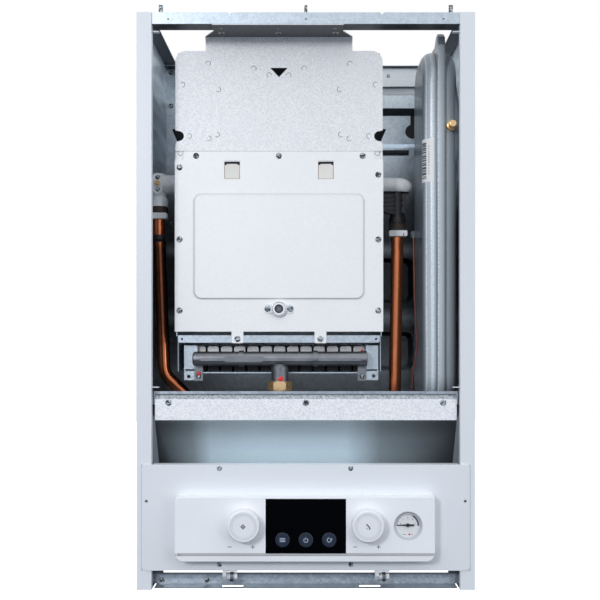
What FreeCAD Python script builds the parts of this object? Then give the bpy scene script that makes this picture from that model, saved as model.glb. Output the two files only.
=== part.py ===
"""Wall-hung gas combination boiler with its front cover off, as an assembly of separate pieces.

Frame: +X to the right and +Y towards the wall, as seen by someone facing the boiler, and +Z up.
The origin lies on the wall plane, midway between the two keyholes that the boiler hangs on.
Every shape is built with its depth measured back from the casing's front plane and its height
measured up from the casing's bottom edge. save() then moves it into the frame above.
All values are millimetres.
"""
import FreeCAD
import Part
import math
import os
from FreeCAD import Vector

# Casing
WIDTH = 410.0
HEIGHT = 700.0
DEPTH = 250.0
SHEET = 1.0
FLANGE = 18.0                     # front and top flanges of the side panels
LIP = 10.0                        # return lip behind the front flange
HOOK_HEIGHT = 608.0               # keyhole centres above the bottom edge
HOOK_SPACING = 315.0
KEYHOLE_RADIUS = 10.5
INSIDE = WIDTH / 2 - SHEET        # inner face of a side wall
LIP_X = WIDTH / 2 - FLANGE        # inner edge of a front flange

# Combustion chamber and hood
CHAMBER_X = -34.0                 # centre of the chamber
CHAMBER_HALF = 130.0
COVER_HALF = 132.0
COVER_DEPTH = 52.0                # front face of the chamber cover
COVER_BOTTOM = 313.0
COVER_TOP = 541.0
CHAMBER_BACK = 215.0
HOOD_TOP = 679.6
SHOULDER_TOP = 668.8
NECK_HALF = 93.0
FLUE_BORE = 65.5
FLUE_DEPTH = 135.0

# Exchanger and water ways
PORT_HEIGHT = 504.5
LEFT_PORT_DEPTH = 88.0
RIGHT_PORT_DEPTH = 108.0
LEFT_PIPE_X = -191.5
RIGHT_PIPE_X = 121.5
PIPE_RADIUS = 8.0
PIPE_WALL = 1.0

# Burner and gas way
GAS_X = -33.0
MANIFOLD_DEPTH = 58.0
MANIFOLD_HEIGHT = 278.5
MANIFOLD_RADIUS = 8.9
BLADES = 13
BLADE_PITCH = 17.1

# Tray between the chamber and the water parts
TRAY_FLOOR = 224.0
TRAY_LIP = 240.0
STRIP_BOTTOM = 205.0
STRIP_HALF = 184.0

# Expansion vessel
RIM_X = 168.0
RIM_HALF = 4.8
VESSEL = (24.0, 148.0, 208.0, 676.0)     # front, back, bottom, top of the rim
RIM_WIDTH = 6.0

# Water connections along the bottom, left to right
CONNECTION_X = (-130.0, -65.0, 0.0, 65.0, 130.0)
CONNECTION_RADIUS = (13.2, 10.5, 13.2, 10.5, 13.2)
CONNECTION_DEPTH = 150.0
CONNECTION_LENGTH = 28.0
THREAD_LENGTH = 22.0
BRACKET_BOTTOM = 30.0

# Control panel
PANEL_HALF = 198.5
PANEL_BOTTOM = 24.0
PANEL_TOP = 152.3
FASCIA_LEFT, FASCIA_RIGHT = -156.3, 154.0
FASCIA_BOTTOM = 38.7
FASCIA_FACE_TOP = 116.0
FASCIA_FRONT = -18.0              # depth of its face, in front of the casing
HINGE_DEPTH = 9.0
HINGE_HEIGHT = 14.5
HOOK_X = 92.5
KNOB_X = 73.5
KNOB_HEIGHT = 83.5
KNOB_RADIUS = 19.3
GAUGE_X = 122.0
GAUGE_HEIGHT = 81.7
GAUGE_RADIUS = 17.2
BUTTON_HEIGHT = 65.0
BUTTON_PITCH = 27.8
BUTTON_RADIUS = 8.0
DISPLAY = (-48.0, 48.0, 48.8, 113.8)
CIRCUIT_DEPTH = 22.0

RUN = 0.08                        # radial clearance of a pin or screw in its hole
X, Y, Z = Vector(1, 0, 0), Vector(0, 1, 0), Vector(0, 0, 1)


# ---------------------------------------------------------------- helpers
def at(x, depth, height):
    """A point, with its depth measured back from the casing's front plane."""
    return Vector(x, depth - DEPTH, height)


def block(x0, x1, d0, d1, z0, z1):
    return Part.makeBox(x1 - x0, d1 - d0, z1 - z0, at(x0, d0, z0))


def rod(base, axis, radius, length):
    return Part.makeCylinder(radius, length, base, axis)


def ring(base, axis, outer, inner, length):
    return rod(base, axis, outer, length).cut(rod(base, axis, inner, length))


def polygon(points):
    return Part.Face(Part.makePolygon(points + [points[0]]))


def plate(corners, d0, d1):
    """A plate that faces forward, cut to corners (x, z)."""
    return polygon([at(x, d0, z) for x, z in corners]).extrude(Y * (d1 - d0))


def profile(corners, x0, x1):
    """A bar along X with the section given by corners (depth, z)."""
    return polygon([at(x0, d, z) for d, z in corners]).extrude(X * (x1 - x0))


def rounded_plate(x0, x1, z0, z1, d0, d1, radius):
    """A forward-facing plate with its four corners rounded."""
    shape = block(x0, x1, d0, d1, z0, z1)
    return shape.makeFillet(radius, [e for e in shape.Edges if abs(e.tangentAt(0).y) > 0.9])


def rounded_side_plate(d0, d1, z0, z1, x0, x1, radius):
    """A plate that faces sideways with its four corners rounded."""
    shape = block(x0, x1, d0, d1, z0, z1)
    return shape.makeFillet(radius, [e for e in shape.Edges if abs(e.tangentAt(0).x) > 0.9])


def mitred(points, offset):
    """The points of an open (u, v) line moved sideways by offset, mitred at its corners."""
    moved = []
    for i, (u, v) in enumerate(points):
        normals = []
        for a, b in ((i - 1, i), (i, i + 1)):
            if 0 <= a and b < len(points):
                du, dv = points[b][0] - points[a][0], points[b][1] - points[a][1]
                length = math.hypot(du, dv)
                normals.append((-dv / length, du / length))
        nu = sum(n[0] for n in normals)
        nv = sum(n[1] for n in normals)
        scale = offset * len(normals) / (nu * nu + nv * nv)
        moved.append((u + nu * scale, v + nv * scale))
    return moved


def bent_sheet(points, x0, x1, thickness=SHEET):
    """A folded sheet along X whose section follows the (depth, z) points."""
    return profile(points + mitred(points, thickness)[::-1], x0, x1)


def fuse(first, *others):
    return first.multiFuse(list(others)).removeSplitter() if others else first


def cut(shape, *tools):
    return shape.cut(list(tools))


def group(shapes):
    return Part.makeCompound(list(shapes))


def route(points, bend):
    """Straight runs joined by tangent arcs."""
    edges = []
    start = points[0]
    for before, corner, after in zip(points, points[1:], points[2:]):
        back = (before - corner).normalize()
        ahead = (after - corner).normalize()
        half_turn = (math.pi - back.getAngle(ahead)) / 2
        inset = bend * math.tan(half_turn)
        crown = bend / math.cos(half_turn) - bend
        middle = corner + (back + ahead).normalize() * crown
        first, last = corner + back * inset, corner + ahead * inset
        edges += [Part.LineSegment(start, first).toShape(), Part.Arc(first, middle, last).toShape()]
        start = last
    edges.append(Part.LineSegment(start, points[-1]).toShape())
    return Part.Wire(edges)


def sweep(points, bend, radius):
    path = route(points, bend)
    section = Part.Wire(Part.Circle(points[0], points[1] - points[0], radius).toShape())
    return path.makePipeShell([section], True, False)


def pipe(points, bend, radius, wall):
    return sweep(points, bend, radius).cut(sweep(points, bend, radius - wall))


def screw(x, depth, height, head=3.9, shank=1.9, length=6.0):
    """A pan-head screw that faces forward, its head resting on the surface at depth."""
    rise = head * 0.62
    ball = (head ** 2 + rise ** 2) / (2 * rise)
    dome = Part.makeSphere(ball, at(x, depth - rise + ball, height))
    cap = dome.common(rod(at(x, depth - rise, height), Y, head, rise))
    slot, deep = head * 0.24, rise * 0.55
    cross = [block(x - a, x + a, depth - rise, depth - rise + deep, height - b, height + b)
             for a, b in ((slot, head * 0.62), (head * 0.62, slot))]
    return fuse(cut(cap, *cross), rod(at(x, depth, height), Y, shank, length))


def holes(places, depth, length, radius=2.0):
    """Round cutters along Y at (x, z) places, starting at depth."""
    return [rod(at(x, depth, z), Y, radius, length) for x, z in places]


def hexagon(centre, across_flats, length):
    """A hexagonal prism along Z with one flat facing forward."""
    corner = across_flats / math.sqrt(3)
    points = [centre + Vector(corner * math.cos(a), corner * math.sin(a), 0)
              for a in (math.radians(60 * i) for i in range(6))]
    return polygon(points).extrude(Z * length)


def revolved(points, centre, axis, start):
    """A solid turned from (distance along axis, radius) points; start is the radial direction."""
    outline = [centre + axis * a + start * r for a, r in points]
    return polygon(outline).revolve(centre, axis, 360)


def save(name, shape):
    """Writes one piece, moved so that the origin is midway between the keyholes on the wall."""
    moved = shape.copy()
    moved.translate(Z * -HOOK_HEIGHT)
    moved.exportStep(os.path.join("parts", name + ".step"))


# ---------------------------------------------------------------- casing
TOP_RAIL_FRONT = 2.0
TOP_RAIL_DEPTH = 24.0
TOP_RAIL = (686.3, 700.3)
BACK_SHEET = 236.0                # front face of the back panel
REAR_SCREW_X = 197.3
REAR_SCREW_HEIGHTS = (691.5, 643.0, 470.0, 300.0)
STRIP_SCREW_X = (-167.5, 0.0, 167.5)
STRIP_SCREW_HEIGHT = 226.2


def side_panel(side):
    """side is -1 for the left panel and 1 for the right one."""
    outer, inner, edge = side * WIDTH / 2, side * INSIDE, side * LIP_X
    lo, hi = min, max

    def slab(a, b, d0, d1, z0, z1):
        return block(lo(a, b), hi(a, b), d0, d1, z0, z1)

    pieces = [slab(outer, inner, 0, DEPTH, 0, HEIGHT),
              slab(outer, edge, 0, SHEET, 0, HEIGHT),
              slab(edge, edge + side * SHEET, 0, LIP, 0, HEIGHT),
              slab(outer, edge, 0, DEPTH - 2, HEIGHT - SHEET, HEIGHT),
              slab(outer, edge, 0, DEPTH - 2, 0, SHEET),
              slab(inner, inner - side * 14, BACK_SHEET + SHEET, BACK_SHEET + 2 * SHEET, 190, HEIGHT - 4)]
    for height in (677.0, 245.0):                      # tabs that the front cover hooks on
        pieces.append(slab(edge, edge - side * 8.5, 3, 10, height, height + SHEET))
    shape = fuse(*pieces)
    rear = [(side * REAR_SCREW_X, z) for z in REAR_SCREW_HEIGHTS]
    latch = holes([(side * 193.0, 107.7)], -1, 4, 1.6)
    return cut(shape, *holes(rear, BACK_SHEET, 4), *latch)


def top_rail():
    bottom, top = TOP_RAIL
    back = TOP_RAIL_FRONT + TOP_RAIL_DEPTH
    shape = bent_sheet([(back, bottom), (TOP_RAIL_FRONT, bottom), (TOP_RAIL_FRONT, top), (back, top)],
                       -LIP_X, LIP_X, -SHEET)
    notches = [plate([(x - 3, top + 1), (x + 3, top + 1), (x, top - 3)], TOP_RAIL_FRONT - 1, back)
               for x in (-92.5, 92.5)]
    pin_holes = holes([(-167, 692), (0, 692), (167, 692)], TOP_RAIL_FRONT - 1, 4, 1.2)
    studs = [rod(at(x, 13, top - 3), Z, r, 5) for x, r in TOP_STUDS]
    flange = holes_down(HOOD_SCREWS, bottom - 1, 3)
    return cut(shape, *notches, *pin_holes, *studs, *flange)


TOP_STUDS = ((-177.5, 2.6), (0.0, 1.9), (177.5, 2.6))
HOOD_SCREWS = [(CHAMBER_X + dx, 17.0) for dx in (-70, 0, 70)]


def holes_down(places, base, length, radius=2.0):
    """Round cutters along Z at (x, depth) places."""
    return [rod(at(x, d, base), Z, radius, length) for x, d in places]


def top_studs():
    """Threaded studs that stand up through the top rail, each on its own round head."""
    top = TOP_RAIL[1]
    made = []
    for x, radius in TOP_STUDS:
        stud = rod(at(x, 13, top - SHEET), Z, radius, 13)
        grooves = [ring(at(x, 13, top + 1.2 * i + 1), Z, radius + 1, radius - 0.35, 0.5) for i in range(9)]
        made.append(fuse(cut(stud, *grooves), rod(at(x, 13, top - 3.2), Z, radius + 2, 2.2)))
    return group(made)


# Pressed pans of the back panel: left, right, bottom, top, width of the sloping wall
PANS = ((-181.0, 181.0, 579.4, 641.2, 9.0), (-120.0, 158.0, 353.0, 421.5, 6.0), (-120.0, 158.0, 255.0, 313.5, 6.0))


def pan(x0, x1, z0, z1, d0, d1, slope, radius):
    """A pan with rounded corners and sloping walls, open at depth d0 and with its floor at d1."""
    outlines = []
    for depth, inset in ((d0, 0), (d1, slope)):
        flat = rounded_plate(x0 + inset, x1 - inset, z0 + inset, z1 - inset, depth, depth + 1, radius - inset / 2)
        outlines.append(min(flat.Faces, key=lambda f: f.CenterOfMass.y).OuterWire)
    return Part.makeLoft(outlines, True, True)


def back_panel():
    """A full-height pressed sheet. Its pans reach back to the wall."""
    wall = DEPTH
    front = BACK_SHEET
    shape = block(-INSIDE, INSIDE, front, front + SHEET, 190, 697)
    groove = [(front, 578.3), (front + 7, 572.8), (front, 570.0)]
    shape = fuse(shape, profile([(d + SHEET, z) for d, z in groove], -178, 152))
    shape = cut(shape, profile([(front - 1, 579.1)] + groove + [(front - 1, 569.6)], -177, 151))
    for x0, x1, z0, z1, slope in PANS:
        outer = pan(x0, x1, z0, z1, front, wall, slope, 12)
        inner = pan(x0 + SHEET, x1 - SHEET, z0 + SHEET, z1 - SHEET, front - 1, wall - SHEET, slope, 11)
        shape = cut(fuse(shape, outer), inner)
    top = block(-INSIDE, INSIDE, front - 20, front, 696, 697)
    bottom = block(-INSIDE, INSIDE, front - 14, front, 190, 191)
    shape = fuse(shape, top, bottom)
    keyholes = []
    for side in (-1, 1):
        x = side * HOOK_SPACING / 2
        keyholes.append(rod(at(x, wall - 3, HOOK_HEIGHT), Y, KEYHOLE_RADIUS, 4))
        keyholes.append(block(x - 3, x + 3, wall - 3, wall + 1, HOOK_HEIGHT, 632))
    rear = [(s * REAR_SCREW_X, z) for s in (-1, 1) for z in REAR_SCREW_HEIGHTS]
    rail = [(x, RAIL_SCREW_HEIGHT) for x in RAIL_SCREW_X]
    return cut(shape, *keyholes, *holes(rear, front - 4, 6), *holes(rail, front - 4, 6))


RAIL_SCREW_X = (-150.0, 119.8)
RAIL_SCREW_HEIGHT = 684.0


def upper_cross_rail():
    """A hat-section rail across the top of the back panel."""
    front = BACK_SHEET - 9
    shape = bent_sheet([(BACK_SHEET, 659), (BACK_SHEET - SHEET, 659), (BACK_SHEET - SHEET, 669), (front, 669),
                        (front, 695.9), (BACK_SHEET, 695.9)], -190, 190, -SHEET)
    return cut(shape, *holes([(x, RAIL_SCREW_HEIGHT) for x in RAIL_SCREW_X], front - 1, 4))


def bottom_rail():
    """Rail along the bottom edge that carries the control panel's hinges."""
    lip = 2.0
    shape = bent_sheet([(lip, 1.5), (20, 1.5), (20, 15.4), (26, 13.9)], -STRIP_HALF, STRIP_HALF)
    slots = [block(x - 13, x + 13, 7, 17, 0, 2.6) for x in (-89.3, 78.2)]
    bolt = holes([(x, 7.5) for x in BOTTOM_SCREW_X], 18, 5)
    return cut(fuse(shape, *rail_ends(), *hinge_ears()), *slots, *bolt)


BOTTOM_SCREW_X = (-177.0, -122.0)


def rail_ends():
    """End brackets welded to the bottom rail. They screw to the side panels."""
    made = []
    for side in (-1, 1):
        a, b = sorted((side * 160.0, side * INSIDE))
        inner, outer = sorted((side * (INSIDE - SHEET), side * INSIDE))
        c, d = sorted((side * 175.5, side * INSIDE))
        made += [block(a, b, 21, 22, 2.5, 14.5), block(c, d, 21, 22, 2.5, 25), block(inner, outer, 21, 60, 2.5, 29)]
    return made


def hinge_ears():
    """Ears on the bottom rail, each with the hole that a hook's pin turns in."""
    made = []
    for side in (-1, 1):
        x = side * HOOK_X
        ear = fuse(block(x + 0.5, x + 4.5, HINGE_DEPTH, 20, HINGE_HEIGHT - 6, HINGE_HEIGHT),
                   rod(at(x + 0.5, HINGE_DEPTH, HINGE_HEIGHT), X, 6.0, 4.0))
        made.append(cut(ear, rod(at(x, HINGE_DEPTH, HINGE_HEIGHT), X, 4.0 + RUN, 6)))
    return made


def connection_bracket():
    """Shelf near the bottom that carries the five water and gas connections."""
    z = BRACKET_BOTTOM
    shape = bent_sheet([(95, z + 14), (95, z), (226, z), (226, z + 26)], -INSIDE, INSIDE)
    bores = [rod(at(x, CONNECTION_DEPTH, z - 1), Z, r - 1.0, 4)
             for x, r in zip(CONNECTION_X, CONNECTION_RADIUS)]
    return cut(shape, *bores)


# ---------------------------------------------------------------- tray
def divider_tray():
    """Pan that closes the space under the chamber, with holes for the pipes."""
    floor = block(-INSIDE, INSIDE, 14, BACK_SHEET, TRAY_FLOOR, TRAY_FLOOR + SHEET)
    lip = block(-186.5, 186.5, 13, 14, TRAY_FLOOR, TRAY_LIP)
    shape = fuse(floor, lip)
    pipes = [rod(at(-152, LEFT_PORT_DEPTH + 2, TRAY_FLOOR - 1), Z, 16, 4),
             rod(at(GAS_X, MANIFOLD_DEPTH, TRAY_FLOOR - 1), Z, 10, 4),
             rod(at(RIGHT_PIPE_X - 3.5, RIGHT_PORT_DEPTH, TRAY_FLOOR - 1), Z, 12, 4),
             rod(at(CAPILLARY_FOOT[0], CAPILLARY_FOOT[1], TRAY_FLOOR - 1), Z, 3, 4),
             block(142, 198, 18, 154, TRAY_FLOOR - 1, TRAY_FLOOR + 2)]
    slot = block(-118, 92, 200, 214, TRAY_FLOOR - 1, TRAY_FLOOR + 2)
    screws = holes([(x, STRIP_SCREW_HEIGHT) for x in STRIP_SCREW_X], 12, 3)
    return cut(shape, *pipes, slot, *screws)


def tray_apron():
    """Front strip of the tray and the sloping sheet under it."""
    points = [(46, 137), (8, STRIP_BOTTOM), (8, 230.3), (12.2, 236.8)]
    shape = bent_sheet(points, -STRIP_HALF, STRIP_HALF, -SHEET)
    shape = cut(shape, block(-WIDTH, WIDTH, 13, 20, 200, 245))
    return cut(shape, *holes([(x, STRIP_SCREW_HEIGHT) for x in STRIP_SCREW_X], 7, 4))


# ---------------------------------------------------------------- chamber and hood
COVER_SCREWS = [(CHAMBER_X + x, z) for x, z in
                ((-105, 535.6), (0, 535.6), (106, 535.6), (-125.8, 521), (-125.8, 429.7), (-125.8, 339.7),
                 (125.8, 511.7), (125.8, 429.7), (125.8, 339.7))]
TAB_X = (CHAMBER_X - 52.5, CHAMBER_X + 52.5)
TAB_SCREW_HEIGHT = 303.6
SIGHT_HEIGHT = 341.8
SIGHT_SCREW_X = (CHAMBER_X - 14.4, CHAMBER_X + 14.4)
WINDOWS = ((CHAMBER_X - 69.3, CHAMBER_X - 49.5), (CHAMBER_X + 49.5, CHAMBER_X + 69.3))


def chamber_cover():
    """Front cover with a raised field, two windows, a sight hole and two tabs over the bar."""
    front, back = COVER_DEPTH, COVER_DEPTH + SHEET
    x0, x1 = CHAMBER_X - COVER_HALF, CHAMBER_X + COVER_HALF
    shape = block(x0, x1, front, back, COVER_BOTTOM, COVER_TOP)
    lips = [block(a, a + SHEET, front, front + 8, COVER_BOTTOM, 525) for a in (x0, x1 - SHEET)]
    tabs = [rounded_plate(x - 7.5, x + 7.5, 298.3, 330, front, back, 2) for x in TAB_X]
    shape = fuse(shape, *lips, *tabs)
    field = raised_field(CHAMBER_X - 108, CHAMBER_X + 108, 354.2, 487.3, front, 1.5)
    hollow = raised_field(CHAMBER_X - 107, CHAMBER_X + 107, 355.2, 486.3, back, 1.5)
    shape = cut(fuse(shape, field), hollow)
    corners = [block(min(x, x + s * 12), max(x, x + s * 12), front - 1, back + 8, 530, COVER_TOP + 1)
               for x, s in ((x0, 1), (x1, -1))]
    windows = [block(a, b, front - 1, back + 1, 506.3, 529.3) for a, b in WINDOWS]
    sight = rod(at(CHAMBER_X, front - 1, SIGHT_HEIGHT), Y, 5.6, 4)
    drilled = holes(COVER_SCREWS + [(x, TAB_SCREW_HEIGHT) for x in TAB_X]
                    + [(x, SIGHT_HEIGHT) for x in SIGHT_SCREW_X], front - 1, 4)
    return cut(shape, *corners, *windows, sight, *drilled)


def raised_field(x0, x1, z0, z1, back, rise):
    """A pressed field: a rounded pad with sloping edges that stands rise proud of back."""
    pad = rounded_plate(x0, x1, z0, z1, back - rise, back, 10)
    face = min(pad.Faces, key=lambda f: f.CenterOfMass.y)
    return pad.makeChamfer(rise * 0.9, face.Edges)


def chamber_shell():
    """Side walls and back of the chamber, open above and below."""
    x0, x1 = CHAMBER_X - CHAMBER_HALF, CHAMBER_X + CHAMBER_HALF
    front = COVER_DEPTH + SHEET
    low, high = 262.0, 526.0
    walls = [block(x0, x0 + SHEET, front, CHAMBER_BACK, low, high),
             block(x1 - SHEET, x1, front, CHAMBER_BACK, low, high),
             block(x0, x1, CHAMBER_BACK - SHEET, CHAMBER_BACK, low, high),
             block(x0, x0 + 14, front, front + SHEET, COVER_BOTTOM, high),
             block(x1 - 14, x1, front, front + SHEET, COVER_BOTTOM, high)]
    ports = [rod(at(x0 - 3, LEFT_PORT_DEPTH, PORT_HEIGHT), X, 13.2, 8),
             rod(at(x1 - 5, RIGHT_PORT_DEPTH, PORT_HEIGHT), X, 13.2, 8)]
    feet = holes([(x, z) for x in BRACE_X for z in BRACE_HEIGHTS], CHAMBER_BACK - 2, 4)
    relief = block(x0 - 1, x1 + 1, front - 1, 66, low - 1, COVER_BOTTOM - 6)
    return cut(fuse(*walls), *ports, *holes(COVER_SCREWS, front - 1, 4), *feet, relief)


BRACE_X = (CHAMBER_X - 90, CHAMBER_X + 90)
BRACE_HEIGHTS = (345.0, 495.0)


def chamber_braces():
    """Z-shaped straps that hold the chamber off the back panel."""
    made = []
    for z in BRACE_HEIGHTS:
        for x in BRACE_X:
            section = [(CHAMBER_BACK, z - 12), (CHAMBER_BACK, z + 8), (BACK_SHEET - SHEET, z + 8),
                       (BACK_SHEET - SHEET, z + 26)]
            made.append(cut(bent_sheet(section, x - 10, x + 10, -SHEET), *holes([(x, z)], CHAMBER_BACK - 1, 4)))
    return group(made)


def front_insulation():
    front = COVER_DEPTH + SHEET
    shape = block(CHAMBER_X - 115.5, CHAMBER_X + 115.5, front, front + 11, 318, 526)
    sight = rod(at(CHAMBER_X, front - 1, SIGHT_HEIGHT), Y, 6.5, 14)
    drilled = holes([(x, SIGHT_HEIGHT) for x in SIGHT_SCREW_X], front - 1, 8)
    return cut(shape, sight, *drilled)


def wall_insulation():
    """Ceramic fibre boards on the chamber's sides and back."""
    x0, x1 = CHAMBER_X - CHAMBER_HALF + SHEET, CHAMBER_X + CHAMBER_HALF - SHEET
    front, back = COVER_DEPTH + 14, CHAMBER_BACK - 8
    return group([block(x0, x0 + 10, front, back, 318, 470),
                  block(x1 - 10, x1, front, back, 318, 470),
                  block(x0, x1, back, CHAMBER_BACK - 2.4, 365, 470)])


def exchanger_fins():
    """Copper fins threaded on the exchanger's tubes, with a thicker plate at each end."""
    bores = [rod(at(CHAMBER_X - 120, d, PORT_HEIGHT), X, 8.0, 240) for d in TUBE_DEPTHS]
    places = [(CHAMBER_X - 108 + 9 * i, 0.8) for i in range(25)]
    return group(cut(block(x - t / 2, x + t / 2, 74, 198, 480, 525), *bores) for x, t in places)


TUBE_DEPTHS = (88.0, 108.0, 128.0, 148.0, 168.0)


def exchanger_tubes():
    return group(ring(at(CHAMBER_X - 117, d, PORT_HEIGHT), X, 8.0, 7.2, 234) for d in TUBE_DEPTHS)


def exchanger_headers():
    """Boxes at both ends that join the tubes."""
    made = []
    for x0, x1 in ((CHAMBER_X - 127, CHAMBER_X - 117), (CHAMBER_X + 117, CHAMBER_X + 127)):
        shape = block(x0, x1, 74, 182, PORT_HEIGHT - 15, PORT_HEIGHT + 15)
        made.append(shape.makeFillet(4, shape.Edges))
    return group(made)


def sight_glass_holder():
    """Flanged ring over the sight hole."""
    front = COVER_DEPTH
    ears = rounded_plate(CHAMBER_X - 17.8, CHAMBER_X + 17.8, SIGHT_HEIGHT - 5.6, SIGHT_HEIGHT + 5.6,
                         front - 1.2, front, 3)
    collar = rod(at(CHAMBER_X, front - 5, SIGHT_HEIGHT), Y, 10, 5)
    rim = collar.makeFillet(1.2, [min(collar.Edges, key=lambda e: e.BoundBox.YMax)])
    seat = rod(at(CHAMBER_X, front - 2.5, SIGHT_HEIGHT), Y, 7.0, 3)
    bore = rod(at(CHAMBER_X, front - 6, SIGHT_HEIGHT), Y, 5.6, 8)
    return cut(fuse(ears, rim), seat, bore, *holes([(x, SIGHT_HEIGHT) for x in SIGHT_SCREW_X], front - 3, 5))


def sight_glass():
    return rod(at(CHAMBER_X, COVER_DEPTH - 2.5, SIGHT_HEIGHT), Y, 7.0, 2.5)


# Half-round lances in the hood plate: (offset from centre, height, direction of the tongue in degrees)
LANCES = ((89.9, 652.5, 240), (32.0, 646.6, 240), (12.3, 638.0, 300), (122.5, 626.0, 200),
          (77.0, 620.0, 150), (114.0, 561.0, 190), (89.0, 557.8, 160), (78.4, 562.6, 160),
          (125.0, 539.5, 60))


def lance(x, z, angle, depth):
    """A curved cut that frees a small tongue of the sheet."""
    slit = ring(at(x, depth - 1, z), Y, 3.4, 2.8, 4)
    u, v = math.cos(math.radians(angle)), math.sin(math.radians(angle))
    away = plate([(x + 1.2 * u - 6 * v, z + 1.2 * v + 6 * u), (x + 1.2 * u + 6 * v, z + 1.2 * v - 6 * u),
                  (x + 9 * u + 6 * v, z + 9 * v - 6 * u), (x + 9 * u - 6 * v, z + 9 * v + 6 * u)],
                 depth - 2, depth + 5)
    return slit.cut(away)


def under_lance(x, depth, z):
    """A D-shaped cut in a level sheet, open at its straight side."""
    slit = ring(at(x, depth, z - 2), Z, 3.6, 2.8, 5)
    return slit.cut(block(x - 1.6, x + 1.6, depth + 1, depth + 5, z - 3, z + 4))


def hood_plate():
    """Front plate of the draught hood, with a flange that screws to the top rail."""
    front = COVER_DEPTH + SHEET
    half = COVER_HALF - 0.6
    body = block(CHAMBER_X - half, CHAMBER_X + half, front, front + SHEET, 527, SHOULDER_TOP)
    shoulders = [e for e in body.Edges if abs(e.tangentAt(0).y) > 0.9 and e.BoundBox.ZMin > 600]
    body = body.makeFillet(14, shoulders)
    neck = block(CHAMBER_X - NECK_HALF, CHAMBER_X + NECK_HALF, front, front + SHEET, 600, HOOD_TOP)
    under = TOP_RAIL[0] - SHEET
    fold = [(front, HOOD_TOP - 1), (front, HOOD_TOP), (front - 3.5, under), (2.4, under)]
    flange = bent_sheet(fold, CHAMBER_X - NECK_HALF, CHAMBER_X + NECK_HALF, -SHEET)
    trim = [polygon([at(CHAMBER_X + s * (NECK_HALF + 1), 51, 670), at(CHAMBER_X + s * (NECK_HALF - 13), 26, 670),
                     at(CHAMBER_X + s * (NECK_HALF - 13), 0, 670),
                     at(CHAMBER_X + s * (NECK_HALF + 1), 0, 670)]).extrude(Z * 30) for s in (-1, 1)]
    shape = cut(fuse(body, neck, flange), *trim)
    arrow = plate([(CHAMBER_X - 11, 647.2), (CHAMBER_X + 11, 647.2), (CHAMBER_X, 635.5)], front - 1, front + 3)
    cutters = [arrow]
    for side in (-1, 1):
        for offset, z, angle in LANCES:
            turned = angle if side < 0 else 180 - angle
            cutters.append(lance(CHAMBER_X + side * offset, z, turned, front))
        edge = CHAMBER_X + side * (half + 2)
        inner = CHAMBER_X + side * (half - 4.6)
        cutters.append(rod(at(inner, front - 1, 560.8), Y, 6.2, 4))
        cutters.append(plate([(edge, 568.6), (inner, 567.0), (inner, 554.6), (edge - side * 3.5, 553.6),
                              (edge, 546.5)], front - 1, front + 3))
    cutters += [under_lance(x, 34.4, under) for x in (CHAMBER_X - 71, CHAMBER_X, CHAMBER_X + 71)]
    cutters += holes(COVER_SCREWS, front - 1, 4)
    cutters += holes_down(HOOD_SCREWS, under - 2, 5)
    return cut(shape, *cutters)


def hood_shell():
    """Sides, back and top of the draught hood, with an ear behind each side notch of the front plate.

    Its back is open low down, where room air joins.
    """
    x0, x1 = CHAMBER_X - CHAMBER_HALF + 2, CHAMBER_X + CHAMBER_HALF - 2
    front = COVER_DEPTH + 2 * SHEET
    top = SHOULDER_TOP - 3
    shape = fuse(block(x0, x0 + SHEET, front, CHAMBER_BACK, 527, top),
                 block(x1 - SHEET, x1, front, CHAMBER_BACK, 527, top),
                 block(x0, x1, CHAMBER_BACK - SHEET, CHAMBER_BACK, 590, top),
                 block(x0, x1, front, CHAMBER_BACK, top - SHEET, top))
    ears = [plate([(CHAMBER_X + s * 135.9, 569.7), (CHAMBER_X + s * 127.0, 571.0), (CHAMBER_X + s * 114.0, 571.0),
                   (CHAMBER_X + s * 114.0, 549.0), (CHAMBER_X + s * 126.0, 549.0), (CHAMBER_X + s * 128.6, 553.0)],
                  front + 0.05, front + SHEET) for s in (-1, 1)]
    return cut(fuse(shape, *ears), rod(at(CHAMBER_X, FLUE_DEPTH, top - 4), Z, FLUE_BORE + 1.2, 8))


def flue_collar():
    """Round socket for the flue pipe, with a flange under it."""
    top = SHOULDER_TOP - 3
    sleeve = ring(at(CHAMBER_X, FLUE_DEPTH, top - 3), Z, FLUE_BORE + 1.2, FLUE_BORE, 37)
    flange = ring(at(CHAMBER_X, FLUE_DEPTH, top), Z, FLUE_BORE + 8, FLUE_BORE, 1)
    bead = ring(at(CHAMBER_X, FLUE_DEPTH, top + 31), Z, FLUE_BORE + 2, FLUE_BORE, 3)
    return fuse(sleeve, flange, bead)


# ---------------------------------------------------------------- elbows and pipes
CLIP_HEIGHT = 7.6
LEFT_SEAL_TOP = 475.5
RIGHT_SEAL_TOP = 456.8


def left_elbow():
    """Cast elbow on the exchanger's left port, with a boss for the sensor."""
    x, d = LEFT_PIPE_X, LEFT_PORT_DEPTH
    body = rod(at(x, d, LEFT_SEAL_TOP + 9), Z, 9.6, 518.5 - LEFT_SEAL_TOP - 9)
    body = body.makeFillet(3, [max(body.Edges, key=lambda e: e.BoundBox.ZMin)])
    skirt = revolved([(0, 0), (0, 11.8), (9, 11.8), (13, 9.6), (13, 0)], at(x, d, LEFT_SEAL_TOP), Z, X)
    side = rod(at(x, d, PORT_HEIGHT), X, 12.4, CHAMBER_X - 127 - x)
    seam = ring(at(-174.5, d, PORT_HEIGHT), X, 14, 12.1, 0.8)
    boss = rounded_plate(x - 6.5, x + 6.5, 491, 518, d - 12, d, 6)
    ways = [rod(at(x, d - 13, SENSOR_HEIGHT), Y, 3.6, 12)] + holes(SENSOR_SCREWS, d - 13, 8)
    left_wall = block(-INSIDE - 5, -INSIDE + 0.4, 0, DEPTH, 400, 600)
    return cut(fuse(body, skirt, side, boss), seam, left_wall, *ways)


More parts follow.
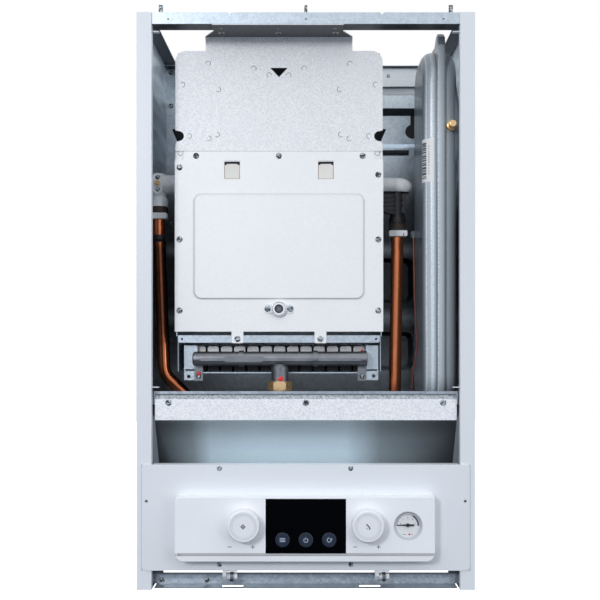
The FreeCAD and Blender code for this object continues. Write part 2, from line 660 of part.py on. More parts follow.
SENSOR_HEIGHT = 505.0
SENSOR_SCREWS = [(LEFT_PIPE_X, 512.6), (LEFT_PIPE_X, 497.0)]


def flow_sensor():
    """Temperature sensor with a brass collar and a dark plug."""
    x, d = LEFT_PIPE_X, LEFT_PORT_DEPTH
    return fuse(rod(at(x, d - 16, SENSOR_HEIGHT), Y, 3.5, 14), rod(at(x, d - 18, SENSOR_HEIGHT), Y, 2.4, 3))


def right_elbow():
    """Cast elbow on the exchanger's right port, with a rounded nose."""
    x, d = RIGHT_PIPE_X, RIGHT_PORT_DEPTH
    start = CHAMBER_X + 127
    nose = [(x + 19.5 - start, 0)]
    for i in range(1, 9):
        a = math.pi / 2 * i / 8
        nose.append((x - start + 19.5 * math.cos(a), 12.3 * math.sin(a)))
    barrel = revolved([(0, 0)] + nose + [(0, 12.3)], at(start, d, PORT_HEIGHT), X, Z)
    seams = [ring(at(sx, d, PORT_HEIGHT), X, 14, 12.0, 0.7) for sx in (112.5, 115.5)]
    neck = rod(at(x, d, RIGHT_SEAL_TOP + 8), Z, 9.0, PORT_HEIGHT - RIGHT_SEAL_TOP - 8)
    skirt = revolved([(0, 0), (0, 11.4), (5, 11.4), (11, 9.0), (11, 0)], at(x, d, RIGHT_SEAL_TOP), Z, X)
    gusset = plate([(x - 24.5, 495), (x + 11.2, 495), (x + 10.6, 486), (x + 8.9, 478), (x + 8.7, 470),
                    (x - 8.7, 468), (x - 24.5, 473)], d - 7.5, d + 7.5)
    grooves = [ring(at(x - 14, d - 8.5, 505), Y, r + 0.7, r - 0.7, 2.6) for r in (16.5, 22.0, 27.5, 33.0)]
    return cut(fuse(barrel, neck, skirt, cut(gusset, *grooves)), *seams)


def elbow_seals():
    """Brown union collars under the elbows."""
    return group(fuse(ring(at(x, d, z - tall), Z, r, PIPE_RADIUS, tall - 2),
                      ring(at(x, d, z - 2), Z, r - 1.2, PIPE_RADIUS, 2))
                 for x, d, z, r, tall in ELBOW_ENDS)


ELBOW_ENDS = ((LEFT_PIPE_X, LEFT_PORT_DEPTH, LEFT_SEAL_TOP, 11.8, 8.8),
              (RIGHT_PIPE_X, RIGHT_PORT_DEPTH, RIGHT_SEAL_TOP, 11.4, 10.8))


def elbow_clips():
    """Spring clips that lock each pipe in its elbow: a flat fork round the pipe and a front bar."""
    made = []
    for x, d, z, r, tall in ELBOW_ENDS:
        top = z - tall
        fork = ring(at(x, d, top - CLIP_HEIGHT), Z, 11.6, PIPE_RADIUS, CLIP_HEIGHT)
        fork = cut(fork, block(x - 20, x + 20, d + 5, d + 20, top - 9, top + 1))
        bar = rounded_plate(x - 11.8, x + 11.8, top - CLIP_HEIGHT, top, d - 13, d - 9.5, 1.8)
        made.append(fuse(fork, bar))
    return group(made)


PUMP_X, PUMP_DEPTH = 112.0, 150.0
LEFT_BLOCK_TOP = 92.0


def flow_pipe():
    """Copper pipe from the left elbow down to the left water block."""
    d = LEFT_PORT_DEPTH
    top = LEFT_SEAL_TOP - 2
    points = [at(LEFT_PIPE_X, d, top), at(LEFT_PIPE_X, d, 440), at(-184.5, d, 258),
              at(-128, d + 6, 201), at(-128, 150, 150), at(-128, 150, LEFT_BLOCK_TOP)]
    return pipe(points, 26, PIPE_RADIUS, PIPE_WALL)


def return_pipe():
    """Copper pipe from the pump up to the right elbow."""
    top = RIGHT_SEAL_TOP - 2
    points = [at(RIGHT_PIPE_X, RIGHT_PORT_DEPTH, top), at(RIGHT_PIPE_X, RIGHT_PORT_DEPTH, 440),
              at(117.6, RIGHT_PORT_DEPTH, 215), at(PUMP_X, PUMP_DEPTH, 188), at(PUMP_X, PUMP_DEPTH, 160)]
    return pipe(points, 12, PIPE_RADIUS, PIPE_WALL)


# ---------------------------------------------------------------- burner and gas way
BURNER_FRONT = 75.0


def lower_bar():
    """Folded bar under the cover. The cover's tabs screw to it."""
    front = COVER_DEPTH + SHEET
    shape = bent_sheet([(front + 12, 308.2), (front, 308.2), (front, 299), (front + 12, 299)],
                       CHAMBER_X - 127.8, CHAMBER_X + 127.8)
    corners = [plate([(CHAMBER_X + s * 130, 298), (CHAMBER_X + s * 124.5, 298), (CHAMBER_X + s * 130, 302.5)],
                     front - 1, front + 14) for s in (-1, 1)]
    drilled = holes([(x, TAB_SCREW_HEIGHT) for x in TAB_X], front - 1, 4)
    drilled += holes([(CHAMBER_X + s * 123, TAB_SCREW_HEIGHT) for s in (-1, 1)], front - 1, 4, 1.4)
    return cut(shape, *corners, *drilled)


def burner_blades():
    """Upright burner tubes side by side, each with a mouth for its injector and slots on top."""
    made = []
    for i in range(BLADES):
        x = CHAMBER_X + BLADE_PITCH * (i - (BLADES - 1) / 2)
        body = block(x - 7.2, x + 7.2, BURNER_FRONT, 205, 262, 294)
        crown = [e for e in body.Edges if abs(e.tangentAt(0).y) > 0.9 and e.BoundBox.ZMin > 290]
        body = body.makeFillet(3, crown)
        mouth = rod(at(x, BURNER_FRONT - 1, MANIFOLD_HEIGHT - 2), Y, 5.0, 40)
        slots = [block(x - 5, x + 5, 88 + 9 * k, 90 + 9 * k, 289, 295) for k in range(13)]
        made.append(cut(body, mouth, *slots))
    return group(made)


def burner_rack():
    """Sheet frame that the burner blades stand in."""
    front, floor = 68.0, 259.5
    plates = []
    for x0, x1 in ((-156.2, -139.3), (77.0, 92.9)):
        plates.append(block(x0, x1, front, front + 1.5, 264.5, 295.3))
    for x0, x1 in ((-156.2, -132.2), (66.9, 92.9)):
        plates.append(block(x0, x1, front, front + 1.5, 250.7, 264.5))
    shelf = block(-156.2, 92.9, front, 212, floor, floor + 1.5)
    sides = [block(x, x + 1.5, front, 212, floor, 295.3) for x in (-156.2, 91.4)]
    shape = fuse(shelf, *plates, *sides).cut(rod(at(GAS_X, MANIFOLD_DEPTH, floor - 1), Z, 12.5, 4))
    vents = [block(CHAMBER_X + BLADE_PITCH * i - 3, CHAMBER_X + BLADE_PITCH * i + 3, 90, 200, floor - 1, floor + 2)
             for i in range(-6, 7)]
    bolts = holes([(-150.3, 255.3), (87.0, 256.0)], front - 1, 4, 2.4) + holes(RACK_SCREWS, front - 1, 4)
    ledges = [block(x0, x1, front - 2.5, front + 1, 265.0, 266.0) for x0, x1 in ((-156.2, -144.0), (80.5, 92.9))]
    slots = [block(x0, x1, front - 1, front + 1.6, 262.6, 264.4) for x0, x1 in ((-154.6, -138.0), (72.0, 91.3))]
    return cut(fuse(shape, *ledges), *vents, *bolts, *slots)


RACK_SCREWS = [(-137.5, 255.8), (72.0, 255.8)]


def gas_manifold():
    """Pipe across the burner with its inlet below, a raised pad and the brackets at both ends."""
    x0, x1 = -143.7, 78.2
    d, z = MANIFOLD_DEPTH, MANIFOLD_HEIGHT
    tube = rod(at(x0, d, z), X, MANIFOLD_RADIUS, x1 - x0)
    tube = tube.makeFillet(2.5, [e for e in tube.Edges if e.Closed])
    rib = rounded_plate(-134, 70, z - 2.6, z + 1.2, d - MANIFOLD_RADIUS - 0.9, d, 1)
    pad = plate([(-100, z - 4), (-56, z - 4), (-52, z), (-56, z + 3.6), (-100, z + 3.6), (-108, z)],
                d - MANIFOLD_RADIUS - 1.7, d)
    bands = [ring(at(x, d, z), X, MANIFOLD_RADIUS + 1.5, 5, 6) for x in (-85.0, 9.0)]
    collar = ring(at(68.5, d, z), X, MANIFOLD_RADIUS + 0.8, 5, 9.0)
    inlet = revolved([(0, 0), (0, 10.6), (18, 11.2), (22, 7.8), (22, 0)], at(GAS_X, d, 250), Z, X)
    feet = [fuse(block(x - 5.5, x + 5.5, 66.2, 68, 250, 272), block(x - 5.5, x + 5.5, d, 68, 270, 272))
            for x, _ in RACK_SCREWS]
    bore = rod(at(x0 + 3, d, z), X, MANIFOLD_RADIUS - 2.5, x1 - x0 - 6)
    inlet_bore = rod(at(GAS_X, d, 249), Z, 5.5, 27)
    jets = [rod(at(x, d, z - 2), Y, 2.5, 12) for x in BLADE_CENTRES]
    shape = fuse(tube, rib, pad, *bands, collar, inlet, *feet)
    return cut(shape, bore, inlet_bore, *jets, *holes(RACK_SCREWS, 60, 10))


BLADE_CENTRES = [CHAMBER_X + BLADE_PITCH * (i - (BLADES - 1) / 2) for i in range(BLADES)]


def injectors():
    """Brass jets between the manifold and the blades."""
    z = MANIFOLD_HEIGHT - 2
    start = MANIFOLD_DEPTH + 6.6
    return group(cut(fuse(rod(at(x, start, z), Y, 2.5, 7.5), rod(at(x, start + 5.4, z), Y, 3.4, 2.0)),
                     rod(at(x, start - 1, z), Y, 0.8, 10)) for x in BLADE_CENTRES)


def manifold_nut():
    bottom, tall = 238.0, 12.0
    body = hexagon(at(GAS_X, MANIFOLD_DEPTH, bottom), 27, tall)
    bevel = revolved([(0, 0), (0, 13.6), (2, 15.7), (tall - 2, 15.7), (tall, 13.6), (tall, 0)],
                     at(GAS_X, MANIFOLD_DEPTH, bottom), Z, X)
    return cut(body.common(bevel), rod(at(GAS_X, MANIFOLD_DEPTH, bottom - 1), Z, 6.0, tall + 2))


GAS_VALVE_TOP = 150.0
GAS_VALVE_DEPTH = 95.0


def gas_pipe():
    """Copper pipe from the gas valve up into the manifold's nut."""
    points = [at(GAS_X, MANIFOLD_DEPTH, 249), at(GAS_X, MANIFOLD_DEPTH, 205),
              at(GAS_X, GAS_VALVE_DEPTH, 175), at(GAS_X, GAS_VALVE_DEPTH, GAS_VALVE_TOP)]
    return pipe(points, 14, 6.0, 1.0)


def gas_valve():
    """Gas valve body with its inlet pipe to the gas connection."""
    x, d = GAS_X, GAS_VALVE_DEPTH
    body = block(x - 26, x + 26, d - 18, d + 18, 84, 140)
    body = body.makeFillet(4, [e for e in body.Edges if abs(e.tangentAt(0).z) > 0.9])
    outlet = rod(at(x, d, 140), Z, 11, 10)
    foot = rod(at(x, d, 76), Z, 12, 8)
    return cut(fuse(body, outlet, foot), rod(at(x, d, 142), Z, 6.0, 9))


def gas_coils():
    """Two solenoid coils and the modulating coil on the valve's right side."""
    x, d = GAS_X + 26, GAS_VALVE_DEPTH
    upper = block(x, x + 24, d - 13, d + 13, 112, 138)
    lower = block(x, x + 24, d - 13, d + 13, 86, 110)
    cap = rod(at(GAS_X - 26, d, 112), -X, 13, 16)
    return group([s.makeFillet(3, s.Edges) for s in (upper, lower)] + [cap.makeFillet(3, [cap.Edges[0]])])


def gas_feed_pipe():
    """Pipe from the gas connection to the valve's foot."""
    points = [at(0, CONNECTION_DEPTH, 40), at(0, CONNECTION_DEPTH, 58), at(GAS_X, GAS_VALVE_DEPTH, 58),
              at(GAS_X, GAS_VALVE_DEPTH, 76)]
    return pipe(points, 9, 7.0, 1.0)


# ---------------------------------------------------------------- expansion vessel
def vessel_outline(inset):
    front, back, low, high = VESSEL
    return front + inset, back - inset, low + inset, high - inset, 48.0 - inset


def dish(side, reach, inset, rounding):
    """One pressed half of the vessel, as a filled shape. side is -1 towards the chamber."""
    front, back, low, high, corner = vessel_outline(RIM_WIDTH + inset)
    x0, x1 = sorted((RIM_X, RIM_X + side * (reach - inset)))
    shape = rounded_side_plate(front, back, low, high, x0, x1, corner)
    far = min(shape.Faces, key=lambda f: -side * f.CenterOfMass.x)
    return shape.makeFillet(rounding - inset, far.Edges)


VALVE_X, VALVE_HEIGHT = 180.6, 568.3
HOSE_X, HOSE_DEPTH = RIM_X + 12.5, 86.0
DISHES = ((-1, 21.6), (1, 21.0))
DISH_FILLET = 14.0
WALL = 1.5


BOSS_RADIUS = 6.4


def swelling(inset):
    """Gentle bulge of the right half around the valve."""
    crest, radius = 194.0, 320.0
    arch = rod(at(crest - radius - inset, 36 + inset, VALVE_HEIGHT), Y, radius, 48 - 2 * inset)
    bulge = arch.common(block(176, 200, 30, 100, VALVE_HEIGHT - 64 + inset, VALVE_HEIGHT + 64 - inset))
    front = [e for e in bulge.Edges if e.BoundBox.YMax < 37 + inset - DEPTH and e.BoundBox.ZLength > 90
             and e.BoundBox.XMax > 190]
    return bulge.makeFillet(9 - inset, front)


def vessel_shells():
    """The two dished halves, left then right."""
    made = []
    for side, reach in DISHES:
        filled, hollow = dish(side, reach, 0, DISH_FILLET), dish(side, reach, WALL, DISH_FILLET)
        if side > 0:
            filled, hollow = fuse(filled, swelling(0)), fuse(hollow, swelling(WALL))
        made.append(cut(filled, hollow))
    hole = rod(at(VALVE_X, 20, VALVE_HEIGHT), Y, BOSS_RADIUS, 28)
    made[1] = cut(made[1], hole)
    bottom = rod(at(HOSE_X, HOSE_DEPTH, 200), Z, 5.0, 60)
    made[1] = cut(made[1], bottom)
    return made


def vessel_rim():
    """Rolled band that clamps the two halves."""
    front, back, low, high, corner = vessel_outline(0)
    outer = rounded_side_plate(front, back, low, high, RIM_X - RIM_HALF, RIM_X + RIM_HALF, corner)
    lug = polygon([at(RIM_X - RIM_HALF, d, z) for d, z in ((24, 600), (24, 668), (27, 679), (34, 684), (43, 683),
                                                          (60, 672), (60, 640))]).extrude(X * 2 * RIM_HALF)
    outer = fuse(outer, lug)
    outer = outer.makeFillet(2.4, [e for e in outer.Edges if abs(e.tangentAt(e.FirstParameter).x) < 0.1])
    front, back, low, high, corner = vessel_outline(RIM_WIDTH)
    inner = rounded_side_plate(front, back, low, high, RIM_X - RIM_HALF - 1, RIM_X + RIM_HALF + 1, corner)
    return cut(outer, inner)


def vessel_diaphragm():
    front, back, low, high, corner = vessel_outline(RIM_WIDTH + WALL)
    return rounded_side_plate(front, back, low, high, RIM_X - 0.6, RIM_X + 0.6, corner)


def vessel_valve_boss():
    base = rod(at(VALVE_X, 24, VALVE_HEIGHT), Y, BOSS_RADIUS, 24)
    return cut(base.makeFillet(1.5, [min(base.Edges, key=lambda e: e.BoundBox.YMax)]),
               rod(at(VALVE_X, 23, VALVE_HEIGHT), Y, 4.5, 16))


def vessel_valve():
    stem = rod(at(VALVE_X, 13, VALVE_HEIGHT), Y, 4.5, 24)
    return stem.makeFillet(1.0, [min(stem.Edges, key=lambda e: e.BoundBox.YMax)])


def vessel_hose():
    """Flexible pipe from the vessel's foot to the return block."""
    points = [at(HOSE_X, HOSE_DEPTH, 224), at(HOSE_X, HOSE_DEPTH, 150), at(152, 150, 120), at(152, 150, 92)]
    return pipe(points, 20, 5.0, 1.0)


CAPILLARY_FOOT = (132.5, 40.0)


def gauge_capillary():
    """Thin copper tube in front of the vessel's inner side, with the clip that holds its top."""
    points = [at(134.9, 40, 436), at(136.3, 40, 353), at(139.2, 40, 292), at(134.0, 40, 262),
              at(CAPILLARY_FOOT[0], CAPILLARY_FOOT[1], 240), at(CAPILLARY_FOOT[0], CAPILLARY_FOOT[1], 212)]
    clip = block(133, VESSEL_FLANK, 45, 52, 431, 439)
    arm = block(133, 137, 39, 46, 431, 439)
    return fuse(sweep(points, 20, 1.1), clip, arm)


VESSEL_FLANK = RIM_X - DISHES[0][1]


# ---------------------------------------------------------------- water group
def connections():
    """Threaded spigots under the bracket, each with a hexagon above it."""
    made = []
    for x, r in zip(CONNECTION_X, CONNECTION_RADIUS):
        low = BRACKET_BOTTOM - CONNECTION_LENGTH
        thread = rod(at(x, CONNECTION_DEPTH, low), Z, r, THREAD_LENGTH)
        relief = rod(at(x, CONNECTION_DEPTH, low), Z, r - 1.2, CONNECTION_LENGTH + SHEET)
        stem = fuse(thread, relief)
        nut = hexagon(at(x, CONNECTION_DEPTH, BRACKET_BOTTOM + SHEET), 2 * r + 4, 9)
        bore = rod(at(x, CONNECTION_DEPTH, 0), Z, r - 3.5, 60)
        made.append(cut(fuse(stem, nut), bore))
    return group(made)


BLOCK_BOTTOM = BRACKET_BOTTOM + SHEET + 9


def left_block():
    """Brass block that carries the flow and hot water connections."""
    body = block(-152, -44, 128, 172, BLOCK_BOTTOM, 78)
    body = body.makeFillet(5, [e for e in body.Edges if abs(e.tangentAt(0).z) > 0.9])
    towers = [rod(at(-128, 150, 78), Z, 14, LEFT_BLOCK_TOP - 78), rod(at(-80, 150, 78), Z, 15, 10)]
    ports = [rod(at(x, 172, 62), Y, 10, 11) for x in (-80.0,)]
    return fuse(body, *towers, *ports)


def right_block():
    """Brass block that carries the cold water and return connections."""
    body = block(44, 166, 128, 172, BLOCK_BOTTOM, 78)
    body = body.makeFillet(5, [e for e in body.Edges if abs(e.tangentAt(0).z) > 0.9])
    towers = [rod(at(PUMP_X, PUMP_DEPTH, 78), Z, 14, 8), rod(at(152, 150, 78), Z, 9, 14)]
    ports = [rod(at(80, 172, 62), Y, 10, 11)]
    return fuse(body, *towers, *ports)


def pump_housing():
    """Volute of the circulation pump, with a round chamber for the impeller."""
    x, d = PUMP_X, PUMP_DEPTH
    volute = rod(at(x, d - 20, 118), Y, 32, 40)
    inlet = rod(at(x, d, 86), Z, 14, 10)
    outlet = rod(at(x, d, 145), Z, 13, 15)
    chamber = rod(at(x, d - 20, 118), Y, 26, 30)
    return cut(fuse(volute, inlet, outlet), chamber, rod(at(x, d + 9, 118), Y, 3.0 + RUN, 6))


def pump_motor():
    """Motor can, closing the volute in front."""
    x, d = PUMP_X, PUMP_DEPTH
    flange = rod(at(x, d - 24, 118), Y, 32, 4)
    can = rod(at(x, d - 72, 118), Y, 27, 48)
    can = can.makeFillet(4, [min(can.Edges, key=lambda e: e.BoundBox.YMax)])
    box_on_top = block(x - 20, x + 20, d - 66, d - 30, 140, 156)
    return cut(fuse(flange, can, box_on_top), rod(at(x, d - 40, 118), Y, 3.0 + RUN, 21))


def pump_impeller():
    """Shaft and impeller, free to turn inside the volute."""
    x, d = PUMP_X, PUMP_DEPTH
    shaft = rod(at(x, d - 38, 118), Y, 3.0, 52)
    disc = rod(at(x, d - 4, 118), Y, 22, 3)
    vanes = []
    for i in range(6):
        vane = block(x + 6, x + 21, d - 14, d - 4, 117.2, 118.8)
        vane.rotate(at(x, d, 118), Y, 60 * i)
        vanes.append(vane)
    return fuse(shaft, disc, *vanes)


PHE = (-96.0, 96.0, 28.0, 104.0)          # length and height of the plates: x0, x1, z0, z1
PHE_FRONT, PHE_PLATES, PHE_PITCH = 185.0, 14, 2.3


def phe_outline(inset, d0, d1):
    x0, x1, z0, z1 = PHE
    z0, z1 = z0 + 30, z1 + 10
    return rounded_plate(x0 + inset, x1 - inset, z0 + inset, z1 - inset, d0, d1, 14 - inset)


def phe_plates():
    """The brazed pack: a rim for each plate, stepped so that the layers show."""
    made = []
    for i in range(PHE_PLATES):
        d = PHE_FRONT + 2 + PHE_PITCH * i
        made.append(phe_outline(0.0, d, d + 1.5))
        made.append(phe_outline(1.6, d + 1.5, d + PHE_PITCH))
    return fuse(*made)


def phe_end_plates():
    """Thicker plates at the front and back of the pack."""
    back = PHE_FRONT + 2 + PHE_PITCH * PHE_PLATES
    return group([phe_outline(0.0, PHE_FRONT, PHE_FRONT + 2), phe_outline(0.0, back, back + 2)])


def phe_ports():
    """Short sleeves between the exchanger and the water blocks."""
    return group(ring(at(x, 183, z), Y, r, 6.0, 2) for x, z, r in ((-80, 74, 9.5), (80, 74, 9.5)))


# ---------------------------------------------------------------- control panel
PANEL_FRONT = -1.4
PANEL_SCREWS = [(-104.5, 147.6), (54.5, 147.6), (-104.5, 31.5), (54.5, 31.5)]
PANEL_LATCH = [(-193.0, 107.7), (193.0, 107.7)]
BUTTONS = {"mode_button": -BUTTON_PITCH, "power_button": 0.0, "reset_button": BUTTON_PITCH}


def panel_plate():
    """White sheet that closes the bottom of the front."""
    back = PANEL_FRONT + 1.2
    face = rounded_plate(-PANEL_HALF, PANEL_HALF, PANEL_BOTTOM, PANEL_TOP, PANEL_FRONT, back, 5.5)
    top = block(-185, 185, PANEL_FRONT, 12, PANEL_TOP - 1.2, PANEL_TOP)
    bottom = block(-185, 185, PANEL_FRONT, 6, PANEL_BOTTOM, PANEL_BOTTOM + 1.2)
    window = rounded_plate(-146, 146, 50, 110, PANEL_FRONT - 1, back + 1, 5)
    return cut(fuse(face, top, bottom), window, *holes(PANEL_SCREWS + PANEL_LATCH, PANEL_FRONT - 1, 4))


def fascia():
    """Moulded block over the window: display recess, knob and gauge openings, and a deep groove low down."""
    front, back = FASCIA_FRONT, PANEL_FRONT
    low, high = FASCIA_BOTTOM, FASCIA_FACE_TOP
    left, right = FASCIA_LEFT, FASCIA_RIGHT
    shape = block(left, right, front, back, low, high)
    for radius, x, z in ((10, left, low), (10, right, low), (6.5, left, high), (2, right, high)):
        corner = [e for e in shape.Edges if abs(e.tangentAt(0).y) > 0.9 and e.Length > 10
                  and abs(e.BoundBox.XMin - x) < 0.1 and abs(e.BoundBox.ZMin - z) < 0.1
                  and e.BoundBox.ZLength < 0.1]
        shape = shape.makeFillet(radius, corner)
    shape = shape.makeFillet(0.8, [e for e in shape.Edges if e.BoundBox.YMax < front - DEPTH + 0.1])
    inner = block(left + 3, right - 3, front + 3, back + 1, low + 3, high - 3)
    corners = [e for e in inner.Edges if abs(e.tangentAt(0).y) > 0.9 and e.BoundBox.ZMax < low + 4]
    inner = inner.makeFillet(7.5, corners)
    inner = cut(inner, block(left, right, front, front + 4.8, low, 51.5))
    groove = block(left + 3.7, right + 1, front - 1, front + 3.0, 45.7, 48.8)
    x0, x1, z0, z1 = DISPLAY
    opening = block(x0, x1, front - 1, front + 2.2, z0, z1)
    light = block(x0 + 3, x1 - 3, front, front + 6, z0 + 3, z1 - 3)
    shafts = [rod(at(s * KNOB_X, front - 1, KNOB_HEIGHT), Y, 5, 6) for s in (-1, 1)]
    gauge = rod(at(GAUGE_X, front - 1, GAUGE_HEIGHT), Y, GAUGE_RADIUS, 6)
    return cut(shape, inner, groove, opening, light, *shafts, gauge)


def display_window():
    """Black glass with three holes for the buttons."""
    x0, x1, z0, z1 = DISPLAY
    shape = block(x0, x1, FASCIA_FRONT, FASCIA_FRONT + 2.2, z0, z1)
    bores = [rod(at(x, FASCIA_FRONT - 1, BUTTON_HEIGHT), Y, BUTTON_RADIUS + 0.25, 5) for x in BUTTONS.values()]
    return cut(shape, *bores)


def control_box():
    """Tray behind the panel that holds the circuit board, open in front."""
    outer = block(-160, 160, PANEL_FRONT + 1.2, 38, 37, 135)
    inner = block(-157.5, 157.5, PANEL_FRONT, 35.5, 39.5, 132.5)
    shape = cut(outer, inner)
    posts = [rod(at(x, CIRCUIT_DEPTH + 1.6, z), Y, 4, 12.5) for x in (-140, 140) for z in (52, 118)]
    vents = [block(-60 + 12 * i, -56 + 12 * i, 34, 40, 60, 112) for i in range(11)]
    return cut(fuse(shape, *posts), *vents)


def circuit_board():
    shape = block(-150, 150, CIRCUIT_DEPTH, CIRCUIT_DEPTH + 1.6, 46, 126)
    return cut(shape, rod(at(GAUGE_X, CIRCUIT_DEPTH - 1, GAUGE_HEIGHT), Y, 19.5, 4))


def circuit_parts():
    """Potentiometers under the knobs, switches under the buttons, a relay and a capacitor."""
    d = CIRCUIT_DEPTH
    made = []
    for s in (-1, 1):
        body = block(s * KNOB_X - 8, s * KNOB_X + 8, d - 10, d, KNOB_HEIGHT - 8, KNOB_HEIGHT + 8)
        made.append(cut(body, rod(at(s * KNOB_X, d - 11, KNOB_HEIGHT), Y, 3.0 + RUN, 9)))
    for x in BUTTONS.values():
        made.append(block(x - 5, x + 5, d - 16, d, BUTTON_HEIGHT - 5, BUTTON_HEIGHT + 5))
    made.append(block(-140, -112, d - 16, d, 88, 104))
    made.append(rod(at(-125, d - 20, 68), Y, 8, 20))
    made.append(block(-40, 40, FASCIA_FRONT + 6.5, d, 84, 108))
    return group(made)


def knob(side):
    """Round knob with a raised rim, on a shaft that turns in its potentiometer."""
    x, front = side * KNOB_X, FASCIA_FRONT
    body = rod(at(x, front - 15, KNOB_HEIGHT), Y, KNOB_RADIUS, 14.4)
    rim = min(body.Edges, key=lambda e: e.BoundBox.YMax)
    body = body.makeFillet(2.2, [rim])
    dish_cut = rod(at(x, front - 16, KNOB_HEIGHT), Y, 15.2, 1.6)
    button = rod(at(x, front - 15, KNOB_HEIGHT), Y, 14.6, 1)
    shaft = rod(at(x, front - 1, KNOB_HEIGHT), Y, 3.0, CIRCUIT_DEPTH - 3 - front)
    return fuse(cut(body, dish_cut), button, shaft)


def push_button(x):
    """Round key with a stem that reaches its switch."""
    front = FASCIA_FRONT
    cap = rod(at(x, front - 1.2, BUTTON_HEIGHT), Y, BUTTON_RADIUS, 6.5)
    cap = cap.makeFillet(0.6, [min(cap.Edges, key=lambda e: e.BoundBox.YMax)])
    stem = rod(at(x, front + 5, BUTTON_HEIGHT), Y, 2.5, CIRCUIT_DEPTH - 16 - 1.4 - front - 5)
    return fuse(cap, stem)


GAUGE_FACE = FASCIA_FRONT + 4.5


def gauge_body():
    """Cup behind the fascia that holds the dial, with the pressure stem behind it."""
    cup = ring(at(GAUGE_X, FASCIA_FRONT + 3, GAUGE_HEIGHT), Y, GAUGE_RADIUS + 1.6, GAUGE_RADIUS, 14)
    base = rod(at(GAUGE_X, GAUGE_FACE, GAUGE_HEIGHT), Y, GAUGE_RADIUS, 12.5)
    stem = rod(at(GAUGE_X, 0, GAUGE_HEIGHT - 6), Y, 5, 26)
    stem = stem.common(block(0, WIDTH, GAUGE_FACE + 12, 30, 0, HEIGHT))
    return cut(fuse(cup, base, stem), rod(at(GAUGE_X, GAUGE_FACE, GAUGE_HEIGHT), Y, 1.0 + RUN, 6))


def gauge_needle():
    """Needle that points left at zero, with a tail and a hub on a spindle."""
    d = GAUGE_FACE - 1.4
    hub = rod(at(GAUGE_X, d - 0.5, GAUGE_HEIGHT), Y, 2.2, 1.5)
    blade = plate([(GAUGE_X - 13.5, GAUGE_HEIGHT - 0.35), (GAUGE_X - 13.5, GAUGE_HEIGHT + 0.35),
                   (GAUGE_X, GAUGE_HEIGHT + 1.0), (GAUGE_X + 7.5, GAUGE_HEIGHT + 1.1),
                   (GAUGE_X + 7.5, GAUGE_HEIGHT - 1.1), (GAUGE_X, GAUGE_HEIGHT - 1.0)], d, d + 0.7)
    return fuse(hub, blade, rod(at(GAUGE_X, d, GAUGE_HEIGHT), Y, 1.0, 6))


def hinge_hooks():
    """Moulded arms on the panel's lower lip, each with a pin that lies in a rail bracket."""
    made = []
    for side in (-1, 1):
        x = side * HOOK_X
        pin = rod(at(x - 4, HINGE_DEPTH, HINGE_HEIGHT), X, 4.0, 13)
        arm = profile([(HINGE_DEPTH - 4, HINGE_HEIGHT - 3), (HINGE_DEPTH + 3, HINGE_HEIGHT - 4),
                       (HINGE_DEPTH + 4, PANEL_BOTTOM), (-0.2, PANEL_BOTTOM), (1, HINGE_HEIGHT + 2)],
                      x - 8.5, x - 4)
        pad = block(x - 8.5, x + 9, 0, 12, PANEL_BOTTOM - 2, PANEL_BOTTOM)
        made.append(fuse(pin, arm, pad))
    return group(made)


# ---------------------------------------------------------------- fasteners
def casing_screws():
    strip = [screw(x, 8, STRIP_SCREW_HEIGHT, 3.9, length=7) for x in STRIP_SCREW_X]
    rear = [screw(s * REAR_SCREW_X, BACK_SHEET, z, 3.6) for s in (-1, 1) for z in REAR_SCREW_HEIGHTS]
    low = [screw(x, 19, 7.5, 3.4) for x in BOTTOM_SCREW_X]
    rail = [screw(x, BACK_SHEET - 9, RAIL_SCREW_HEIGHT, 2.6, 1.4, 13) for x in RAIL_SCREW_X]
    return group(strip + rear + low + rail)


def cover_screws():
    front = COVER_DEPTH
    places = [(x, front, z) for x, z in COVER_SCREWS]
    places += [(x, front, TAB_SCREW_HEIGHT) for x in TAB_X]
    places += [(x, front - 1.2, SIGHT_HEIGHT) for x in SIGHT_SCREW_X]
    return group(screw(x, d, z) for x, d, z in places)


def burner_screws():
    sensor = [screw(x, LEFT_PORT_DEPTH - 12, z, 3.2, length=5) for x, z in SENSOR_SCREWS]
    return group([screw(x, 66.2, z, 3.4, length=5) for x, z in RACK_SCREWS] + sensor)


def panel_screws():
    return group(screw(x, PANEL_FRONT, z, 3.1, 1.9, 1.2) for x, z in PANEL_SCREWS)


def hood_screws():
    """Rivets down through the top rail into the hood's flange."""
    top = TOP_RAIL[0] + SHEET
    made = []
    for x, d in HOOD_SCREWS:
        head = rod(at(x, d, top), Z, 3.6, 2.0)
        made.append(fuse(head, rod(at(x, d, top - 2 * SHEET), Z, 1.9, 3)))
    return group(made)


def wiring_loop():
    """Black cable looped behind the control panel, between the gas valve and the pump."""
    points = [at(GAS_X + 53, GAS_VALVE_DEPTH, 124), at(60, 84, 124), at(118, 52, 150), at(150, 52, 150),
              at(172, 60, 110), at(150, 70, 60)]
    return sweep(points, 11, 2.4)


# ---------------------------------------------------------------- the list of pieces
def casing_pieces():
    yield "side_panels", group([side_panel(-1), side_panel(1)])
    yield "top_rail", top_rail()
    yield "back_panel", back_panel()
    yield "upper_cross_rail", upper_cross_rail()
    yield "bottom_rail", bottom_rail()
    yield "connection_bracket", connection_bracket()
    yield "divider_tray", divider_tray()
    yield "tray_apron", tray_apron()
    yield "frame_screws", group([top_studs(), casing_screws(), cover_screws(), burner_screws(), hood_screws()])


